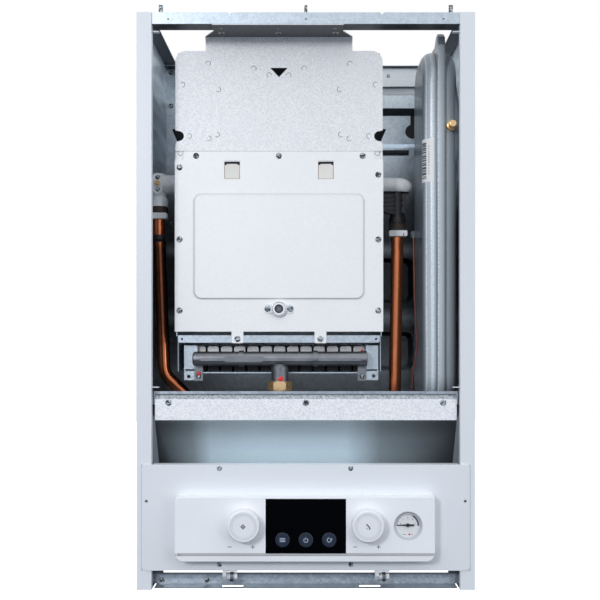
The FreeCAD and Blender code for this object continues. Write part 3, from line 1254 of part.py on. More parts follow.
def chamber_pieces():
    yield "chamber_cover", chamber_cover()
    yield "chamber_shell", chamber_shell()
    yield "chamber_braces", chamber_braces()
    yield "insulation_boards", group([front_insulation(), wall_insulation()])
    yield "exchanger_fins", exchanger_fins()
    yield "exchanger_tubes", group([exchanger_tubes(), exchanger_headers()])
    yield "sight_glass", group([sight_glass_holder(), sight_glass()])
    yield "hood_plate", hood_plate()
    yield "hood_shell", hood_shell()
    yield "flue_collar", flue_collar()


def water_and_gas_pieces():
    yield "elbows", group([left_elbow(), right_elbow()])
    yield "flow_sensor", flow_sensor()
    yield "elbow_seals", elbow_seals()
    yield "elbow_clips", elbow_clips()
    yield "water_pipes", group([flow_pipe(), return_pipe()])
    yield "lower_bar", lower_bar()
    yield "burner_blades", burner_blades()
    yield "burner_rack", burner_rack()
    yield "gas_manifold", gas_manifold()
    yield "injectors", injectors()
    yield "manifold_nut", manifold_nut()
    yield "gas_pipes", group([gas_pipe(), gas_feed_pipe()])
    yield "gas_valve", group([gas_valve(), gas_coils()])
    yield "vessel_shells", group(vessel_shells())
    yield "vessel_rim", vessel_rim()
    yield "vessel_diaphragm", vessel_diaphragm()
    yield "vessel_valve", group([vessel_valve_boss(), vessel_valve()])
    yield "vessel_hose", vessel_hose()
    yield "gauge_capillary", gauge_capillary()
    yield "connections", connections()
    yield "left_block", left_block()
    yield "right_block", right_block()
    yield "pump_housing", pump_housing()
    yield "pump_motor", pump_motor()
    yield "pump_impeller", pump_impeller()
    yield "plate_exchanger", group([phe_plates(), phe_end_plates(), phe_ports()])
    yield "wiring_loop", wiring_loop()


def control_pieces():
    yield "panel_plate", panel_plate()
    yield "fascia", fascia()
    yield "display_window", display_window()
    yield "control_box", control_box()
    yield "circuit_board", fuse(circuit_board(), circuit_parts())
    yield "heating_knob", knob(-1)
    yield "hot_water_knob", knob(1)
    for name, x in BUTTONS.items():
        yield name, push_button(x)
    yield "gauge_body", gauge_body()
    yield "gauge_needle", gauge_needle()
    yield "hinge_hooks", hinge_hooks()
    yield "panel_screws", panel_screws()


def main():
    os.makedirs("parts", exist_ok=True)
    for pieces in (casing_pieces, chamber_pieces, water_and_gas_pieces, control_pieces):
        for name, shape in pieces():
            save(name, shape)


main()
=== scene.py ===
"""Looks for a wall-hung gas boiler with its front cover off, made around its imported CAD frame.

Metres, with the origin on the wall between the keyholes, +Y into the wall and +Z up.
"""
import math
import random

import bmesh
import bpy
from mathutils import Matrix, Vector


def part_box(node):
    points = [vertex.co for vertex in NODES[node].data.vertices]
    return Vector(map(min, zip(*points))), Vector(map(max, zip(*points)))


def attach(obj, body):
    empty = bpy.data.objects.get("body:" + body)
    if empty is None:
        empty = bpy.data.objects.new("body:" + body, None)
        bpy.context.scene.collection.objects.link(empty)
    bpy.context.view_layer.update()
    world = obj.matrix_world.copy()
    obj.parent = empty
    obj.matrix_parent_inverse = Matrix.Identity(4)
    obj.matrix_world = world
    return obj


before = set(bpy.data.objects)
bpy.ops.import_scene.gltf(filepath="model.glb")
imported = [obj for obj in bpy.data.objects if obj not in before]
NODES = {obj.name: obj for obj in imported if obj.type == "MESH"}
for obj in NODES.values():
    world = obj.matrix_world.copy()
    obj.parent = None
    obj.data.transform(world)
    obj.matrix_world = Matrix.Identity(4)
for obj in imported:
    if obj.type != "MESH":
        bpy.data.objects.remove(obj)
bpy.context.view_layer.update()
MM = 0.001

CASING_LOW, CASING_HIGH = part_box("side_panels")
FRONT = CASING_LOW.y                     # the casing's front plane
BOTTOM = CASING_LOW.z
HALF_WIDTH = CASING_HIGH.x
SHEET = 1.0 * MM

# Places in millimetres, measured like the CAD: X from the middle, depth behind the casing's front plane,
# height above its bottom edge.
CHAMBER_X = -34.0                        # centre line of the chamber, the hood and the flue
HOOD_DEPTH, FLUE_DEPTH = 140.0, 135.0
SHADE_DEPTH = 80.0                        # the hood's forward faces nearer than this are painted black, for shade
LIP_DEPTH = 12.0                         # the casing's painted front flanges end here
PANEL_HALF = 198.5                       # half the control panel's width
PANEL_LOW, PANEL_TOP = 23.0, 152.3
STRIP_LOW, FOLD_LOW = 205.1, 230.6       # the tray's front strip and the fold above it
CROWN_LOW = 287.2                        # the burners' crowns begin here
CLIP_LOW = 430.0                         # the capillary's clip
# X, low and top of the band made black on the right elbow's neck.
NECK_BLACK_X, NECK_BLACK_LOW, NECK_BLACK_TOP = 50.0, 456.5, 497.5
SIGHT_Z = 341.8
SIGHT_GLASS, SIGHT_RING, SIGHT_GROOVE = 5.6, 7.9, 8.4     # radii
COVER_FIELD = (CHAMBER_X, 420.75, 108.0, 66.55)           # X, height, half width, half height
FIELD_CORNER = 10.0


# ---------------------------------------------------------------- camera
CAMERA_DISTANCE = 1.130                  # from the casing's front plane
CAMERA_HEIGHT = 0.315                    # above the casing's bottom edge
CAMERA_LENS = 56.0
CAMERA_SHIFT = (-0.0097, 0.05)


def make_camera():
    data = bpy.data.cameras.new("camera")
    data.sensor_width = 36.0
    data.lens = CAMERA_LENS
    data.shift_x, data.shift_y = CAMERA_SHIFT
    data.clip_start = 0.05
    camera = bpy.data.objects.new("camera", data)
    camera.location = (0.0, FRONT - CAMERA_DISTANCE, BOTTOM + CAMERA_HEIGHT)
    camera.rotation_euler = (math.radians(90), 0, 0)
    bpy.context.scene.collection.objects.link(camera)
    bpy.context.scene.camera = camera


make_camera()


# ---------------------------------------------------------------- material graphs
class Graph:
    """One procedural material: its node tree, its shader, and short calls for common nodes."""

    def __init__(self, name, metallic=0.0, **sockets):
        self.material = bpy.data.materials.new(name)
        self.material.use_nodes = True
        self.tree = self.material.node_tree
        self.shader = self.tree.nodes["Principled BSDF"]
        self.shader.inputs["Metallic"].default_value = metallic
        for socket, value in sockets.items():
            self.shader.inputs[socket.replace("_", " ")].default_value = value
        self.place = self.node("ShaderNodeTexCoord").outputs["Object"]

    def node(self, kind, **settings):
        made = self.tree.nodes.new(kind)
        for key, value in settings.items():
            setattr(made, key, value)
        return made

    def link(self, source, target):
        self.tree.links.new(source, target)

    def feed(self, node, values):
        """Sets each named input to a number, or links it to an output."""
        for key, value in values.items():
            socket = node.inputs[key]
            if isinstance(value, bpy.types.NodeSocket):
                self.link(value, socket)
            else:
                socket.default_value = value
        return node

    def stretched(self, x, y, z):
        """The surface coordinates, scaled along each axis."""
        node = self.node("ShaderNodeMapping")
        return self.feed(node, {"Vector": self.place, "Scale": (x, y, z)}).outputs["Vector"]

    def noise(self, scale, detail=3.0, roughness=0.5, where=None, distortion=0.0):
        node = self.node("ShaderNodeTexNoise")
        values = {"Vector": where or self.place, "Scale": scale, "Detail": detail,
                  "Roughness": roughness, "Distortion": distortion}
        return self.feed(node, values).outputs["Fac"]

    def cells(self, scale, where=None):
        """Voronoi cells: returns a random number for each cell."""
        node = self.node("ShaderNodeTexVoronoi")
        self.feed(node, {"Vector": where or self.place, "Scale": scale, "Randomness": 1.0})
        split = self.node("ShaderNodeSeparateColor")
        self.link(node.outputs["Color"], split.inputs["Color"])
        return split.outputs["Red"]

    def span(self, value, low, high, start=0.0, end=1.0):
        """Maps start..end to low..high, clamped."""
        node = self.node("ShaderNodeMapRange")
        values = {"Value": value, "From Min": start, "From Max": end, "To Min": low, "To Max": high}
        return self.feed(node, values).outputs["Result"]

    def math(self, operation, a, b=0.0):
        node = self.node("ShaderNodeMath", operation=operation)
        return self.feed(node, {0: a, 1: b}).outputs[0]

    def over(self, value, limit):
        """1 where value is above limit, otherwise 0."""
        return self.math("GREATER_THAN", value, limit)

    def below(self, value, limit):
        """1 where value is below limit, otherwise 0."""
        return self.math("LESS_THAN", value, limit)

    def both(self, a, b):
        return self.math("MULTIPLY", a, b)

    def either(self, a, b):
        return self.math("MAXIMUM", a, b)

    def mix(self, factor, a, b):
        """Blends two colours, or colour outputs."""
        node = self.node("ShaderNodeMix", data_type="RGBA")
        for index, value in ((0, factor), (6, a), (7, b)):
            socket = node.inputs[index]
            if isinstance(value, bpy.types.NodeSocket):
                self.link(value, socket)
            else:
                socket.default_value = value if index == 0 else (*value, 1.0)
        return node.outputs[2]

    def colour(self, output):
        self.link(output, self.shader.inputs["Base Color"])

    def rough(self, output):
        self.link(output, self.shader.inputs["Roughness"])

    def metal(self, output):
        self.link(output, self.shader.inputs["Metallic"])

    def bump(self, height, distance):
        node = self.node("ShaderNodeBump")
        self.feed(node, {"Height": height, "Distance": distance, "Strength": 1.0})
        self.link(node.outputs["Normal"], self.shader.inputs["Normal"])

    def axis(self, name):
        """One coordinate of the surface: X, Y or Z, in the row frame."""
        node = self.node("ShaderNodeSeparateXYZ")
        self.link(self.place, node.inputs["Vector"])
        return node.outputs[name]

    def facing(self, name):
        """One part of the direction that the face looks in: X, Y or Z."""
        node = self.node("ShaderNodeSeparateXYZ")
        self.link(self.node("ShaderNodeNewGeometry").outputs["True Normal"], node.inputs["Vector"])
        return node.outputs[name]

    def profile(self, value, stops):
        """Brightness at a length in metres, from a curve through (millimetres, brightness) stops."""
        low, high = stops[0][0], stops[-1][0]
        node = self.node("ShaderNodeValToRGB")
        ramp = node.color_ramp
        while len(ramp.elements) < len(stops):
            ramp.elements.new(0.5)
        for element, (place, bright) in zip(ramp.elements, stops):
            element.position = (place - low) / (high - low)
            element.color = (bright, bright, bright, 1.0)
        self.link(self.span(value, 0.0, 1.0, low * MM, high * MM), node.inputs["Fac"])
        return node.outputs["Color"]

    def height(self):
        """Height above the casing's bottom edge."""
        return self.math("SUBTRACT", self.axis("Z"), BOTTOM)

    def under(self, dark=0.08, start=-0.6, end=-0.25):
        """1 on most faces, and dark on those that look down: painted shade under things."""
        return self.span(self.facing("Z"), dark, 1.0, start, end)

    def field_rim_shade(self, x, z, half_x, half_z):
        """Painted shade that dips along the rim of a rounded rectangle, given in millimetres, as of a soft
        bevel.
        """
        gaps = []
        for place, centre, half in ((self.axis("X"), x, half_x), (self.height(), z, half_z)):
            away = self.math("ABSOLUTE", self.math("SUBTRACT", place, centre * MM))
            gaps.append(self.math("SUBTRACT", away, (half - FIELD_CORNER) * MM))
        outside = [self.math("MAXIMUM", gap, 0.0) for gap in gaps]
        corner = self.math("SQRT", self.math("ADD", *(self.math("MULTIPLY", gap, gap) for gap in outside)))
        inside = self.math("MINIMUM", self.math("MAXIMUM", *gaps), 0.0)
        distance = self.math("SUBTRACT", self.math("ADD", corner, inside), FIELD_CORNER * MM)
        return self.profile(distance, RIM_SHADE_LEVELS)

    def scaled(self, tone, *factors):
        """A colour times each grey factor."""
        for factor in factors:
            node = self.node("ShaderNodeMix", data_type="RGBA", blend_type="MULTIPLY")
            node.inputs[0].default_value = 1.0
            self.link(tone, node.inputs[6])
            self.link(factor, node.inputs[7])
            tone = node.outputs[2]
        return tone


def shade(colour, factor):
    return tuple(min(1.0, c * factor) for c in colour)


# ---------------------------------------------------------------- brightness curves
# Each is a row of (millimetres, brightness) stops. The millimetres are a height unless a comment says
# otherwise. Most paint shade, shadows, sheen and reflections where the studio light alone leaves too little.
# Cover: painted bevel shade round its pressed field.
RIM_SHADE_LEVELS = ((-4.0, 1.0), (-2.2, 0.97), (-1.2, 0.86), (-0.3, 0.76), (0.4, 0.82), (1.4, 0.97),
              (3.0, 1.0))                # distance outside the rim of the cover's field
# Back panel: painted light high up, painted shade low down and in its pressed recesses.
BACK_LEVELS = ((0, 0.5), (240, 0.5), (253, 0.7), (262, 0.5), (300, 0.3), (318, 0.2), (333, 0.7),
               (348, 0.15), (420, 0.15), (432, 0.7), (444, 0.15), (500, 0.25), (540, 0.8), (560, 1.2),
               (592, 1.3), (700, 1.4))
# Fascia: a painted shadow in the groove above its lower lip.
GROOVE_LEVELS = ((20, 0.95), (45.4, 0.95), (45.8, 0.5), (47.5, 0.72), (48.7, 0.8), (49.1, 1.0), (120, 1.0))
# Bottom rail: painted shade along its lower edge and a painted shadow along its top.
RAIL_LEVELS = ((0, 0.5), (2.5, 0.7), (4, 0.95), (9, 1.0), (13.5, 0.8), (15.5, 0.35), (26, 0.15))
# Hood plate: a painted shadow line just above the cover's top edge.
HOOD_LEVELS = ((500, 1.0), (540.2, 1.0), (540.7, 0.55), (541.5, 0.55), (542.4, 1.0), (700, 1.0))
# Inner side walls: painted light high up and painted shade low down.
INNER_WALL_LEVELS = ((0, 0.12), (230, 0.12), (300, 0.3), (430, 0.25), (470, 0.6), (500, 1.2),
                     (570, 1.2), (588, 1.6), (604, 0.8), (622, 0.9), (640, 1.8), (690, 1.9))
# Tray front below its strip: a painted reflection of the panel, bright in the middle, fading to the sides and
# down.
APRON_ACROSS = ((-184, 0.10), (-168, 0.2), (-140, 0.42), (-118, 0.9), (-60, 1.0), (50, 1.0),
                (72, 0.72), (92, 0.42), (130, 0.28), (160, 0.16), (184, 0.08))                   # by X
APRON_LEVELS = ((137, 1.25), (165, 1.1), (185, 0.8), (205, 0.55))
# Fold above the tray's strip: painted shade, darkest in a line at its top edge.
FOLD_LEVELS = ((230, 1.0), (234, 0.8), (235.6, 0.5), (236.2, 0.10), (237.2, 0.10), (237.8, 1.0),
               (245, 1.0))
# Left pipe: how far its colour darkens, by height.
LEFT_PIPE_DARKENING = ((215, 0.15), (285, 0.25), (300, 0.7), (322, 0.95), (422, 0.95), (431, 0.25),
                  (447, 0.0), (475, 0.3))
# Vessel: painted sheen and shade across it by X, painted glints on its highlight lines, and painted shade
# towards its top and bottom.
VESSEL_SHEEN = ((140, 0.10), (146.6, 0.15), (148.4, 0.30), (150.2, 0.66), (151.4, 0.50), (155.6, 0.52),
                (157.2, 0.84), (158.6, 0.64), (160.6, 0.58), (162.2, 0.20), (163.6, 0.50),
                (166.6, 0.62), (169.6, 0.46), (172.6, 0.34), (176.0, 0.52), (181.0, 0.48),
                (190.0, 0.32))           # by X
VESSEL_GLINTS = ((140, 0), (149.4, 0), (150.2, 1), (151.0, 0), (155.2, 0), (156.0, 1), (156.8, 0),
                 (157.6, 0), (158.4, 1), (159.2, 0), (163.0, 0), (164.0, 1), (165.0, 0), (171.5, 0),
                 (172.5, 0.5), (173.5, 0), (190, 0))                                             # by X
VESSEL_LEVELS = ((208, 0.35), (262, 0.9), (300, 1.0), (560, 1.0), (620, 0.72), (660, 0.5),
                 (667, 0.45), (669, 0.16), (684, 0.12))


# ---------------------------------------------------------------- materials
def galvanised(name, base=(0.58, 0.65, 0.71), contrast=0.16, spangle=330.0, roughness=(0.30, 0.46),
               levels=None, dark=0.08):
    """Zinc-coated sheet: crystal patches of slightly different brightness, with fine grain.

    levels paint light and shade into it by height, and faces that look down get painted shade. Faces
    that look to the rear keep one tone.
    """
    g = Graph(name, metallic=0.8)
    crystals = g.cells(spangle)
    fine = g.cells(spangle * 2.6)
    grain = g.noise(900.0, 4.0, 0.7)
    patch = g.math("ADD", g.math("MULTIPLY", crystals, 0.6), g.math("MULTIPLY", fine, 0.4))
    tone = g.mix(patch, shade(base, 1 - contrast), shade(base, 1 + contrast * 0.7))
    tone = g.mix(g.span(grain, 0.0, 0.35, 0.45, 0.75), tone, shade(base, 1.22))
    # Painted shade on faces that look down, and painted light and shade by height.
    factors = [g.under(dark)]
    if levels:
        rear = g.over(g.facing("Y"), 0.3)
        factors.append(g.mix(rear, g.profile(g.height(), levels), (0.9, 0.9, 0.9)))
    g.colour(g.scaled(tone, *factors))
    uneven = g.math("ADD", g.math("MULTIPLY", crystals, 0.7), g.math("MULTIPLY", grain, 0.3))
    g.rough(g.span(uneven, *roughness))
    g.bump(g.math("ADD", patch, grain), 0.00004)
    return g.material


def bright_galvanised(name, base, mottle, metallic, grains=640.0, dark=0.08, levels=None, field=None):
    """Skin-passed zinc sheet, paler and finer than ordinary spangle, with soft streaks.

    levels paint shade into it by height, and faces that look down get painted shade. field is a pressed
    field's (X, height, half width, half height), whose rim gets painted shade, as of a soft bevel.
    """
    g = Graph(name, metallic=metallic)
    fine = g.cells(grains)
    grain = g.noise(1500.0, 5.0, 0.75)
    cloud = g.noise(14.0, 3.0, 0.55)
    tone = g.mix(fine, shade(base, 1 - mottle), shade(base, 1 + mottle))
    tone = g.mix(g.span(grain, 0.0, 0.6, 0.5, 0.72), tone, (0.97, 0.985, 1.0))
    # Painted shade on faces that look down, by height, and round the pressed field's rim.
    factors = [g.under(dark, -0.95, -0.85)]
    if levels:
        factors.append(g.profile(g.height(), levels))
    if field:
        factors.append(g.field_rim_shade(*field))
    g.colour(g.scaled(g.mix(g.span(cloud, 0.0, 0.3, 0.45, 0.7), tone, shade(base, 0.96)), *factors))
    g.rough(g.span(grain, 0.36, 0.52, 0.3, 0.7))
    g.bump(g.math("ADD", fine, grain), 0.00003 + mottle * 0.0003)
    return g.material


def apron_zinc(name):
    """The tray's front: mottled strip, a fold above it in painted shade, and a sheet below with a painted
    reflection of the panel.
    """
    g = Graph(name)
    fine = g.cells(640.0)
    grain = g.noise(1500.0, 5.0, 0.75)
    ripple = g.noise(300.0, 3.0, 0.6)
    height, across = g.height(), g.axis("X")
    mottle = g.span(g.noise(560.0, 3.0, 0.6), 0.0, 1.0, 0.36, 0.58)
    strip_tone = g.mix(mottle, (0.76, 0.80, 0.85), (1.0, 1.0, 1.0))
    # Painted reflection of the panel on the sheet below the strip.
    lower = g.scaled(g.mix(ripple, (0.72, 0.86, 0.95), (0.82, 0.96, 1.0)),
                     g.profile(across, APRON_ACROSS), g.profile(height, APRON_LEVELS))
    # Painted shade on the fold above the strip.
    fold = g.scaled(g.mix(fine, (0.26, 0.29, 0.32), (0.66, 0.71, 0.76)), g.profile(height, FOLD_LEVELS))
    tone = g.mix(g.over(height, STRIP_LOW * MM), lower, strip_tone)
    g.colour(g.mix(g.over(height, FOLD_LOW * MM), tone, fold))
    g.metal(g.span(height, 0.35, 0.05, 0.2, 0.206))
    g.rough(g.span(grain, 0.34, 0.5, 0.3, 0.7))
    g.bump(g.math("ADD", fine, ripple), 0.00008)
    return g.material


def powder_coat(name, colour):
    """Painted sheet with a faint orange peel."""
    g = Graph(name, Coat_Weight=0.15, Coat_Roughness=0.25)
    peel = g.noise(900.0, 2.0, 0.5)
    cloud = g.noise(9.0, 2.0, 0.5)
    g.colour(g.mix(g.span(cloud, 0.0, 1.0, 0.35, 0.65), shade(colour, 0.985), colour))
    g.rough(g.span(peel, 0.30, 0.39, 0.3, 0.7))
    g.bump(peel, 0.00003)
    return g.material


def casing_paint(name):
    """White powder coat outside, with a painted shadow line along the control panel's side edges. Inside it
    is bare zinc, with painted reflections in dark bands, painted light high up and painted shade low down.
    """
    g = Graph(name)
    sideways = g.math("ABSOLUTE", g.axis("X"))
    within = g.below(sideways, HALF_WIDTH - 0.5 * SHEET)
    bare = g.both(within, g.over(g.axis("Y"), FRONT + LIP_DEPTH * MM))
    crystals = g.cells(120.0)
    peel = g.noise(900.0, 2.0, 0.5)
    reflection_streak = g.noise(5.0, 3.0, 0.55, g.stretched(1.0, 1.5, 9.0))
    zinc = g.mix(crystals, (0.52, 0.59, 0.65), (0.66, 0.73, 0.79))
    # Painted reflections: dark bands across the bare zinc inside.
    zinc = g.mix(g.span(reflection_streak, 0.0, 0.75, 0.4, 0.65), zinc, (0.20, 0.24, 0.28))
    zinc = g.scaled(zinc, g.profile(g.height(), INNER_WALL_LEVELS))
    # Painted shadow: a dark line on the casing beside the control panel's side edges.
    aside = g.math("ABSOLUTE", g.math("SUBTRACT", sideways, PANEL_HALF * MM))
    beside = g.span(aside, 0.7, 1.0, 0.0004, 0.0014)
    low = g.both(g.below(g.height(), PANEL_TOP * MM), g.over(g.height(), PANEL_LOW * MM))
    seam_shadow = g.either(beside, g.math("SUBTRACT", 1.0, low))
    painted = g.scaled(g.mix(peel, (0.78, 0.81, 0.84), (0.81, 0.84, 0.87)), seam_shadow)
    g.colour(g.mix(bare, painted, g.scaled(zinc, g.under(0.04))))
    g.metal(g.math("MULTIPLY", bare, 0.3))
    g.rough(g.span(bare, 0.34, 0.30))
    g.bump(g.math("ADD", peel, g.math("MULTIPLY", crystals, 0.4)), 0.00003)
    return g.material


def moulded(name, colour, roughness=0.38, levels=None):
    """Moulded plastic with a fine texture. levels paint shade into it by height, as the shadow in a groove.
    """
    g = Graph(name, Specular_IOR_Level=0.5)
    fine = g.noise(1400.0, 3.0, 0.6)
    cloud = g.noise(25.0, 2.0)
    tone = g.mix(g.span(cloud, 0.0, 1.0, 0.3, 0.7), shade(colour, 0.97), colour)
    g.colour(g.scaled(tone, g.profile(g.height(), levels)) if levels else tone)
    g.rough(g.span(fine, roughness - 0.05, roughness + 0.06, 0.3, 0.7))
    g.bump(fine, 0.00002)
    return g.material


def copper(name):
    """Drawn copper tube with tarnish that runs along it; the left pipe is also darkened over a band of
    heights beside the burner.
    """
    g = Graph(name, metallic=1.0)
    base, dark = (0.80, 0.25, 0.105), (0.20, 0.065, 0.035)
    along = g.noise(9.0, 3.0, 0.55)
    spots = g.noise(140.0, 5.0, 0.65)
    # The left pipe is darkened over a band of heights.
    darkened = g.both(g.profile(g.height(), LEFT_PIPE_DARKENING), g.below(g.axis("X"), 0.0))
    tone = g.mix(darkened, base, dark)
    tone = g.mix(g.span(along, 0.0, 0.4, 0.45, 0.6), tone, dark)
    g.colour(g.mix(g.span(spots, 0.0, 0.2, 0.52, 0.75), tone, shade(base, 1.12)))
    g.rough(g.span(along, 0.20, 0.25, 0.35, 0.7))
    return g.material


def hood_zinc(name, depth):
    """Zinc outside, painted black for shade on faces that look forward, down or towards the upright axis at
    depth.
    """
    g = Graph(name)
    crystals = g.cells(330.0)
    side = g.math("MULTIPLY", g.facing("X"), g.math("SUBTRACT", g.axis("X"), CHAMBER_X * MM))
    front = g.math("MULTIPLY", g.facing("Y"), g.math("SUBTRACT", g.axis("Y"), FRONT + depth * MM))
    inward = g.below(g.math("ADD", side, front), -0.001)
    forward = g.both(g.below(g.facing("Y"), -0.9), g.below(g.axis("Y"), FRONT + SHADE_DEPTH * MM))
    # Painted shade: these faces are made black and unreflective.
    shaded_black = g.either(g.either(inward, forward), g.below(g.facing("Z"), -0.5))
    tone = g.mix(crystals, (0.50, 0.56, 0.61), (0.64, 0.71, 0.77))
    g.colour(g.mix(shaded_black, tone, (0.006, 0.007, 0.009)))
    g.metal(g.span(shaded_black, 0.8, 0.0))
    g.link(g.span(shaded_black, 0.5, 0.04), g.shader.inputs["Specular IOR Level"])
    g.rough(g.span(crystals, 0.32, 0.5))
    g.bump(crystals, 0.00004)
    return g.material


def cast_metal(name, base, roughness=0.45, pits=0.00018):
    """Sand-cast or die-cast metal with a rough skin."""
    g = Graph(name, metallic=1.0)
    skin = g.noise(420.0, 5.0, 0.65)
    cloud = g.noise(60.0, 3.0)
    tone = g.mix(g.span(cloud, 0.0, 1.0, 0.35, 0.65), shade(base, 0.8), base)
    g.colour(g.mix(g.span(skin, 0.0, 0.6, 0.5, 0.75), tone, shade(base, 1.2)))
    g.rough(g.span(skin, roughness - 0.1, roughness + 0.12, 0.3, 0.7))
    g.bump(skin, pits)
    return g.material


def machined(name, base, roughness=0.25, metallic=1.0):
    """Turned or rolled metal with fine tool marks."""
    g = Graph(name, metallic=metallic)
    marks = g.noise(260.0, 3.0, 0.6, g.stretched(1.0, 1.0, 12.0))
    wear = g.noise(90.0, 4.0, 0.6)
    g.colour(g.mix(g.span(wear, 0.0, 0.6, 0.45, 0.7), base, shade(base, 0.72)))
    g.rough(g.span(marks, roughness - 0.08, roughness + 0.12, 0.3, 0.7))
    g.bump(marks, 0.00003)
    return g.material


def screw_steel(name):
    """Plated screw heads with specks of dirt, and dark cells painted in as the shade of their recesses."""
    g = Graph(name, metallic=0.5)
    recess = g.cells(520.0)
    grain = g.noise(900.0, 3.0, 0.6)
    # Dark cells painted in as the shade of the recesses.
    tone = g.mix(g.span(recess, 0.0, 1.0, 0.3, 0.7), (0.04, 0.05, 0.05), (0.72, 0.78, 0.82))
    g.colour(g.mix(g.span(grain, 0.0, 0.5, 0.45, 0.6), tone, (0.10, 0.115, 0.12)))
    g.rough(g.span(grain, 0.26, 0.45, 0.3, 0.7))
    g.bump(recess, 0.0001)
    return g.material


def capillary(name):
    """Thin tarnished copper tube with a grey clip at its top."""
    g = Graph(name, metallic=0.7)
    stain = g.noise(120.0, 3.0, 0.6)
    clip = g.over(g.height(), CLIP_LOW * MM)
    tube_tone = g.mix(stain, (0.07, 0.022, 0.016), (0.15, 0.055, 0.04))
    g.colour(g.mix(clip, tube_tone, (0.07, 0.08, 0.095)))
    g.rough(g.span(stain, 0.3, 0.45, 0.3, 0.7))
    g.bump(stain, 0.00001)
    return g.material


def ceramic_fibre(name):
    """Cream insulation board with fibres and small scorch marks."""
    g = Graph(name, Roughness=0.95)
    fibres = g.noise(260.0, 6.0, 0.75, g.stretched(1.0, 1.0, 0.3), 0.6)
    blotch = g.noise(55.0, 3.0)
    tone = g.mix(fibres, (0.78, 0.76, 0.70), (0.93, 0.91, 0.85))
    g.colour(g.mix(g.span(blotch, 0.0, 0.25, 0.55, 0.8), tone, (0.68, 0.58, 0.47)))
    g.bump(fibres, 0.0004)
    return g.material


def rubber(name, colour=(0.02, 0.02, 0.022)):
    """Matt rubber or pressed fibre with a fine skin."""
    g = Graph(name)
    skin = g.noise(700.0, 3.0, 0.6)
    g.colour(g.mix(skin, shade(colour, 0.7), shade(colour, 1.5)))
    g.rough(g.span(skin, 0.45, 0.7, 0.3, 0.7))
    g.bump(skin, 0.00004)
    return g.material


def vessel_enamel(name):
    """Grey stoved enamel with orange peel, and painted sheen, glints and shade across it and towards its top
    and bottom.
    """
    g = Graph(name, Coat_Weight=0.3, Coat_Roughness=0.22)
    peel = g.noise(330.0, 2.0, 0.5)
    wave = g.noise(16.0, 2.0, 0.5, g.stretched(1.0, 1.0, 0.25))
    across = g.math("ADD", g.axis("X"), g.span(wave, -0.0008, 0.0008, 0.3, 0.7))
    # Painted sheen, glints and shade across the vessel by X, and painted shade by height.
    sheen = g.profile(across, VESSEL_SHEEN)
    glints = g.both(g.profile(across, VESSEL_GLINTS), g.span(g.noise(620.0, 2.0, 0.5), 0.0, 1.0, 0.42, 0.50))
    bright = g.scaled(g.mix(glints, sheen, (1.0, 1.0, 1.0)), g.profile(g.height(), VESSEL_LEVELS))
    g.colour(g.mix(bright, (0.03, 0.042, 0.058), (0.86, 0.95, 1.0)))
    g.rough(g.span(peel, 0.28, 0.42, 0.3, 0.7))
    g.bump(peel, 0.00012)
    return g.material


def gloss_glass(name, colour):
    """Black display glass with a trace of smear."""
    g = Graph(name, Specular_IOR_Level=0.06)
    smear = g.noise(30.0, 4.0, 0.6)
    g.colour(g.mix(smear, shade(colour, 0.8), shade(colour, 1.3)))
    g.rough(g.span(smear, 0.08, 0.16, 0.35, 0.7))
    return g.material


def sight_port(name):
    """Sight hole: dark glass inside a white ring, on a zinc flange."""
    g = Graph(name, metallic=0.3)
    dust = g.noise(700.0, 3.0)
    out = g.node("ShaderNodeVectorMath", operation="DISTANCE")
    flat = g.node("ShaderNodeCombineXYZ")
    g.feed(flat, {"X": g.axis("X"), "Z": g.axis("Z")})
    g.link(flat.outputs["Vector"], out.inputs[0])
    out.inputs[1].default_value = (CHAMBER_X * MM, 0.0, BOTTOM + SIGHT_Z * MM)
    away = out.outputs["Value"]
    flange = g.mix(dust, (0.78, 0.82, 0.86), (0.92, 0.95, 0.97))
    groove = g.mix(g.below(away, SIGHT_GROOVE * MM), flange, (0.08, 0.09, 0.10))
    white_ring = g.mix(g.below(away, SIGHT_RING * MM), groove, (0.97, 0.98, 0.99))
    glass = g.mix(g.span(away, 0.0, 1.0, 0.0015, 0.0056), (0.16, 0.18, 0.20), (0.03, 0.035, 0.04))
    g.colour(g.mix(g.below(away, SIGHT_GLASS * MM), white_ring, glass))
    g.rough(g.span(dust, 0.2, 0.4, 0.4, 0.7))
    g.bump(dust, 0.00003)
    return g.material


def elbow_casting(name, base):
    """Cast alloy, bright elsewhere and black on a band of the right elbow's neck."""
    g = Graph(name)
    skin = g.noise(420.0, 5.0, 0.65)
    cloud = g.noise(60.0, 3.0)
    tone = g.mix(g.span(cloud, 0.0, 1.0, 0.35, 0.65), shade(base, 0.85), base)
    tone = g.mix(g.span(skin, 0.0, 0.6, 0.5, 0.75), tone, (1.0, 1.0, 1.0))
    neck = g.both(g.over(g.height(), NECK_BLACK_LOW * MM), g.below(g.height(), NECK_BLACK_TOP * MM))
    black_neck = g.both(neck, g.over(g.axis("X"), NECK_BLACK_X * MM))
    g.colour(g.mix(black_neck, tone, (0.015, 0.016, 0.018)))
    g.metal(g.span(black_neck, 0.1, 0.0))
    g.rough(g.span(skin, 0.26, 0.44, 0.3, 0.7))
    g.bump(skin, 0.0001)
    return g.material


